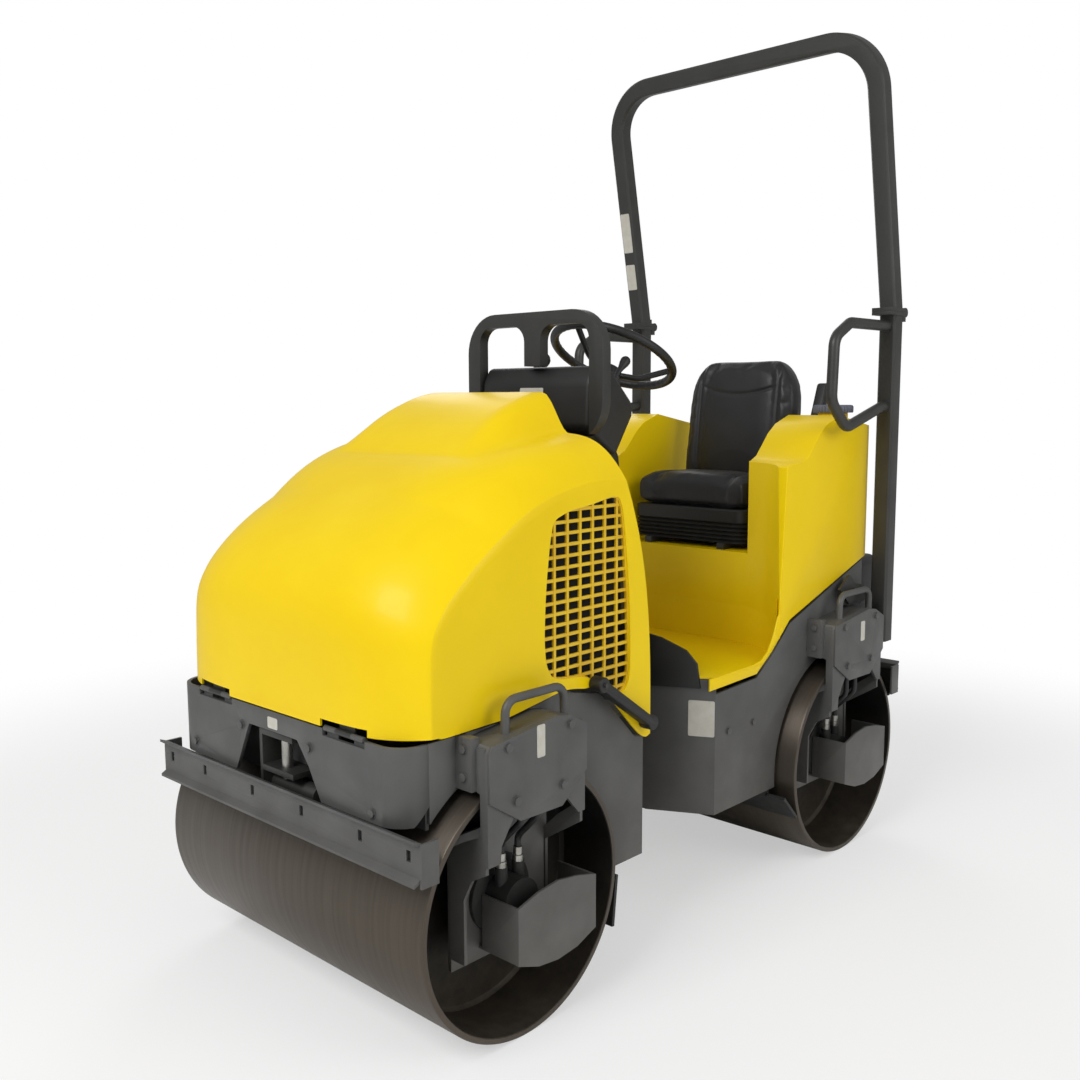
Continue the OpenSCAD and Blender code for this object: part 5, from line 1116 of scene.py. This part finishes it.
def makeHoop(form):
    start, end = form["from"] * mm, form["to"] * mm

    def slab(x0, x1, z0, z1, corner, spare=0.0):
        ring = roundedRing(x0, x1, z0, z1, corner, 0, 10)
        return prism([(p.x, p.y) for p in ring], "y", start - spare, end + spare)

    mesh = slab(-form["half"], form["half"], form["low"], form["high"], form["corner"])
    foot, drop = form["foot"]
    mesh = cutOrAdd(mesh, brick((-foot * mm, start, (form["low"] - drop) * mm),
                                (foot * mm, end, (form["low"] + drop) * mm)), "UNION")
    x, z0, z1 = form["opening"]
    mesh = cutOrAdd(mesh, brick((-x * mm, start - 0.01, z0 * mm), (x * mm, end + 0.01, z1 * mm)), "DIFFERENCE")
    x0, x1, z0, z1 = form["window"]
    for a, b in ((x0, x1), (-x1, -x0)):
        mesh = cutOrAdd(mesh, slab(a, b, z0, z1, form["windowCorner"], 0.01), "DIFFERENCE")
    mesh = bevelled(mesh, form["edge"], 3, 40)
    piece("consoleHoop", mesh, bodyOf("console_hoop"), slotOf("console_hoop"), [darkPowderCoat], ["console_hoop"], 30)


makeHoop(hoopForm)
print("console's frame is made")

# latches of the hood
latchForm = {"studAt": (-405, 682), "footAt": (-232, 562), "pad": 17, "waist": 11, "from": 408.9, "to": 443,
             "hole": (5.05, 400, 470)}


def dogBone(a, b, pad, waist):
    a, b = Vector(a), Vector(b)
    along = (b - a).normalized()
    across = Vector((-along.y, along.x))
    reach = math.degrees(math.asin(waist / pad))
    outline = []
    for centre, way in ((a, -1), (b, 1)):
        for k in range(17):
            turn = math.radians(180 - reach) * (1 - k / 8)
            outline.append(centre + (along * math.cos(turn) + across * math.sin(turn)) * way * pad)
    return [tuple(p * mm) for p in outline]


def makeLatches(form):
    outline = dogBone(form["studAt"], form["footAt"], form["pad"], form["waist"])
    strap = bevelled(prism(outline, "x", form["from"] * mm, form["to"] * mm), 3.5, 3, 40)
    y, z = form["studAt"]
    r, near, far = form["hole"]
    hole = turned([(0, near), (r, near), (r, far), (0, far)], 24, Vector((0, y, z)) * mm, (1, 0, 0))
    strap = cutOrAdd(strap, hole, "DIFFERENCE")
    piece("leftLatchStrap", strap, "left_latch", "rubber", [hoseRubber], ["left_latch"], angle=40)
    piece("rightLatchStrap", mirroredCopy(strap), "right_latch", "rubber", [hoseRubber], ["right_latch"], angle=40)


makeLatches(latchForm)

# blank plates
barLean = math.radians(11)


def blankPlate(at, normal, width, height, up=(0, 0, 1), thick=0.8, corner=4):
    normal = Vector(normal).normalized()
    across = Vector(up).cross(normal).normalized()
    rise = normal.cross(across)
    ring = roundedRing(-width / 2, width / 2, -height / 2, height / 2, corner, 0)
    mesh = prism([(p.x, p.y) for p in ring], "z", 0, thick * mm)
    turn = Matrix((across, rise, normal)).transposed().to_4x4()
    mesh.transform(Matrix.Translation(Vector(at) * mm) @ turn)
    return mesh


def postFace(x, z):
    y = 845 - (z - 1532.3) * math.tan(barLean) - 25 / math.cos(barLean)
    return (x, y - 0.1, z)


frontPlates = [blankPlate((-9, -940, 625), (0, -1, 0), 36, 24)]
frontPlates += [blankPlate((s * 480, -645.5, 623), (s, 0, 0), 23, 66) for s in (-1, 1)]
piece("frontBlankPlates", combined("plates", frontPlates), "front_frame", "frame_paint", [blankVinyl])
rearPlates = [blankPlate((s * 480, 676, 640), (s, 0, 0), 23, 56) for s in (-1, 1)]
rearPlates += [blankPlate((369, 56.6, 496), (81, -153, 0), 66, 92),
               blankPlate((-5, -162.2, 1296), (0, -1, 0.047), 80, 46)]
piece("rearBlankPlates", combined("plates", rearPlates), "rear_frame", "frame_paint", [blankVinyl])
barPlates = [blankPlate(postFace(-450, z), (0, -math.cos(barLean), -math.sin(barLean)), 36, h)
             for z, h in ((1832, 125), (1692, 82))]
piece("barBlankPlates", combined("plates", barPlates), "rops_upper", "bar_paint", [blankVinyl])
print("plates are made")
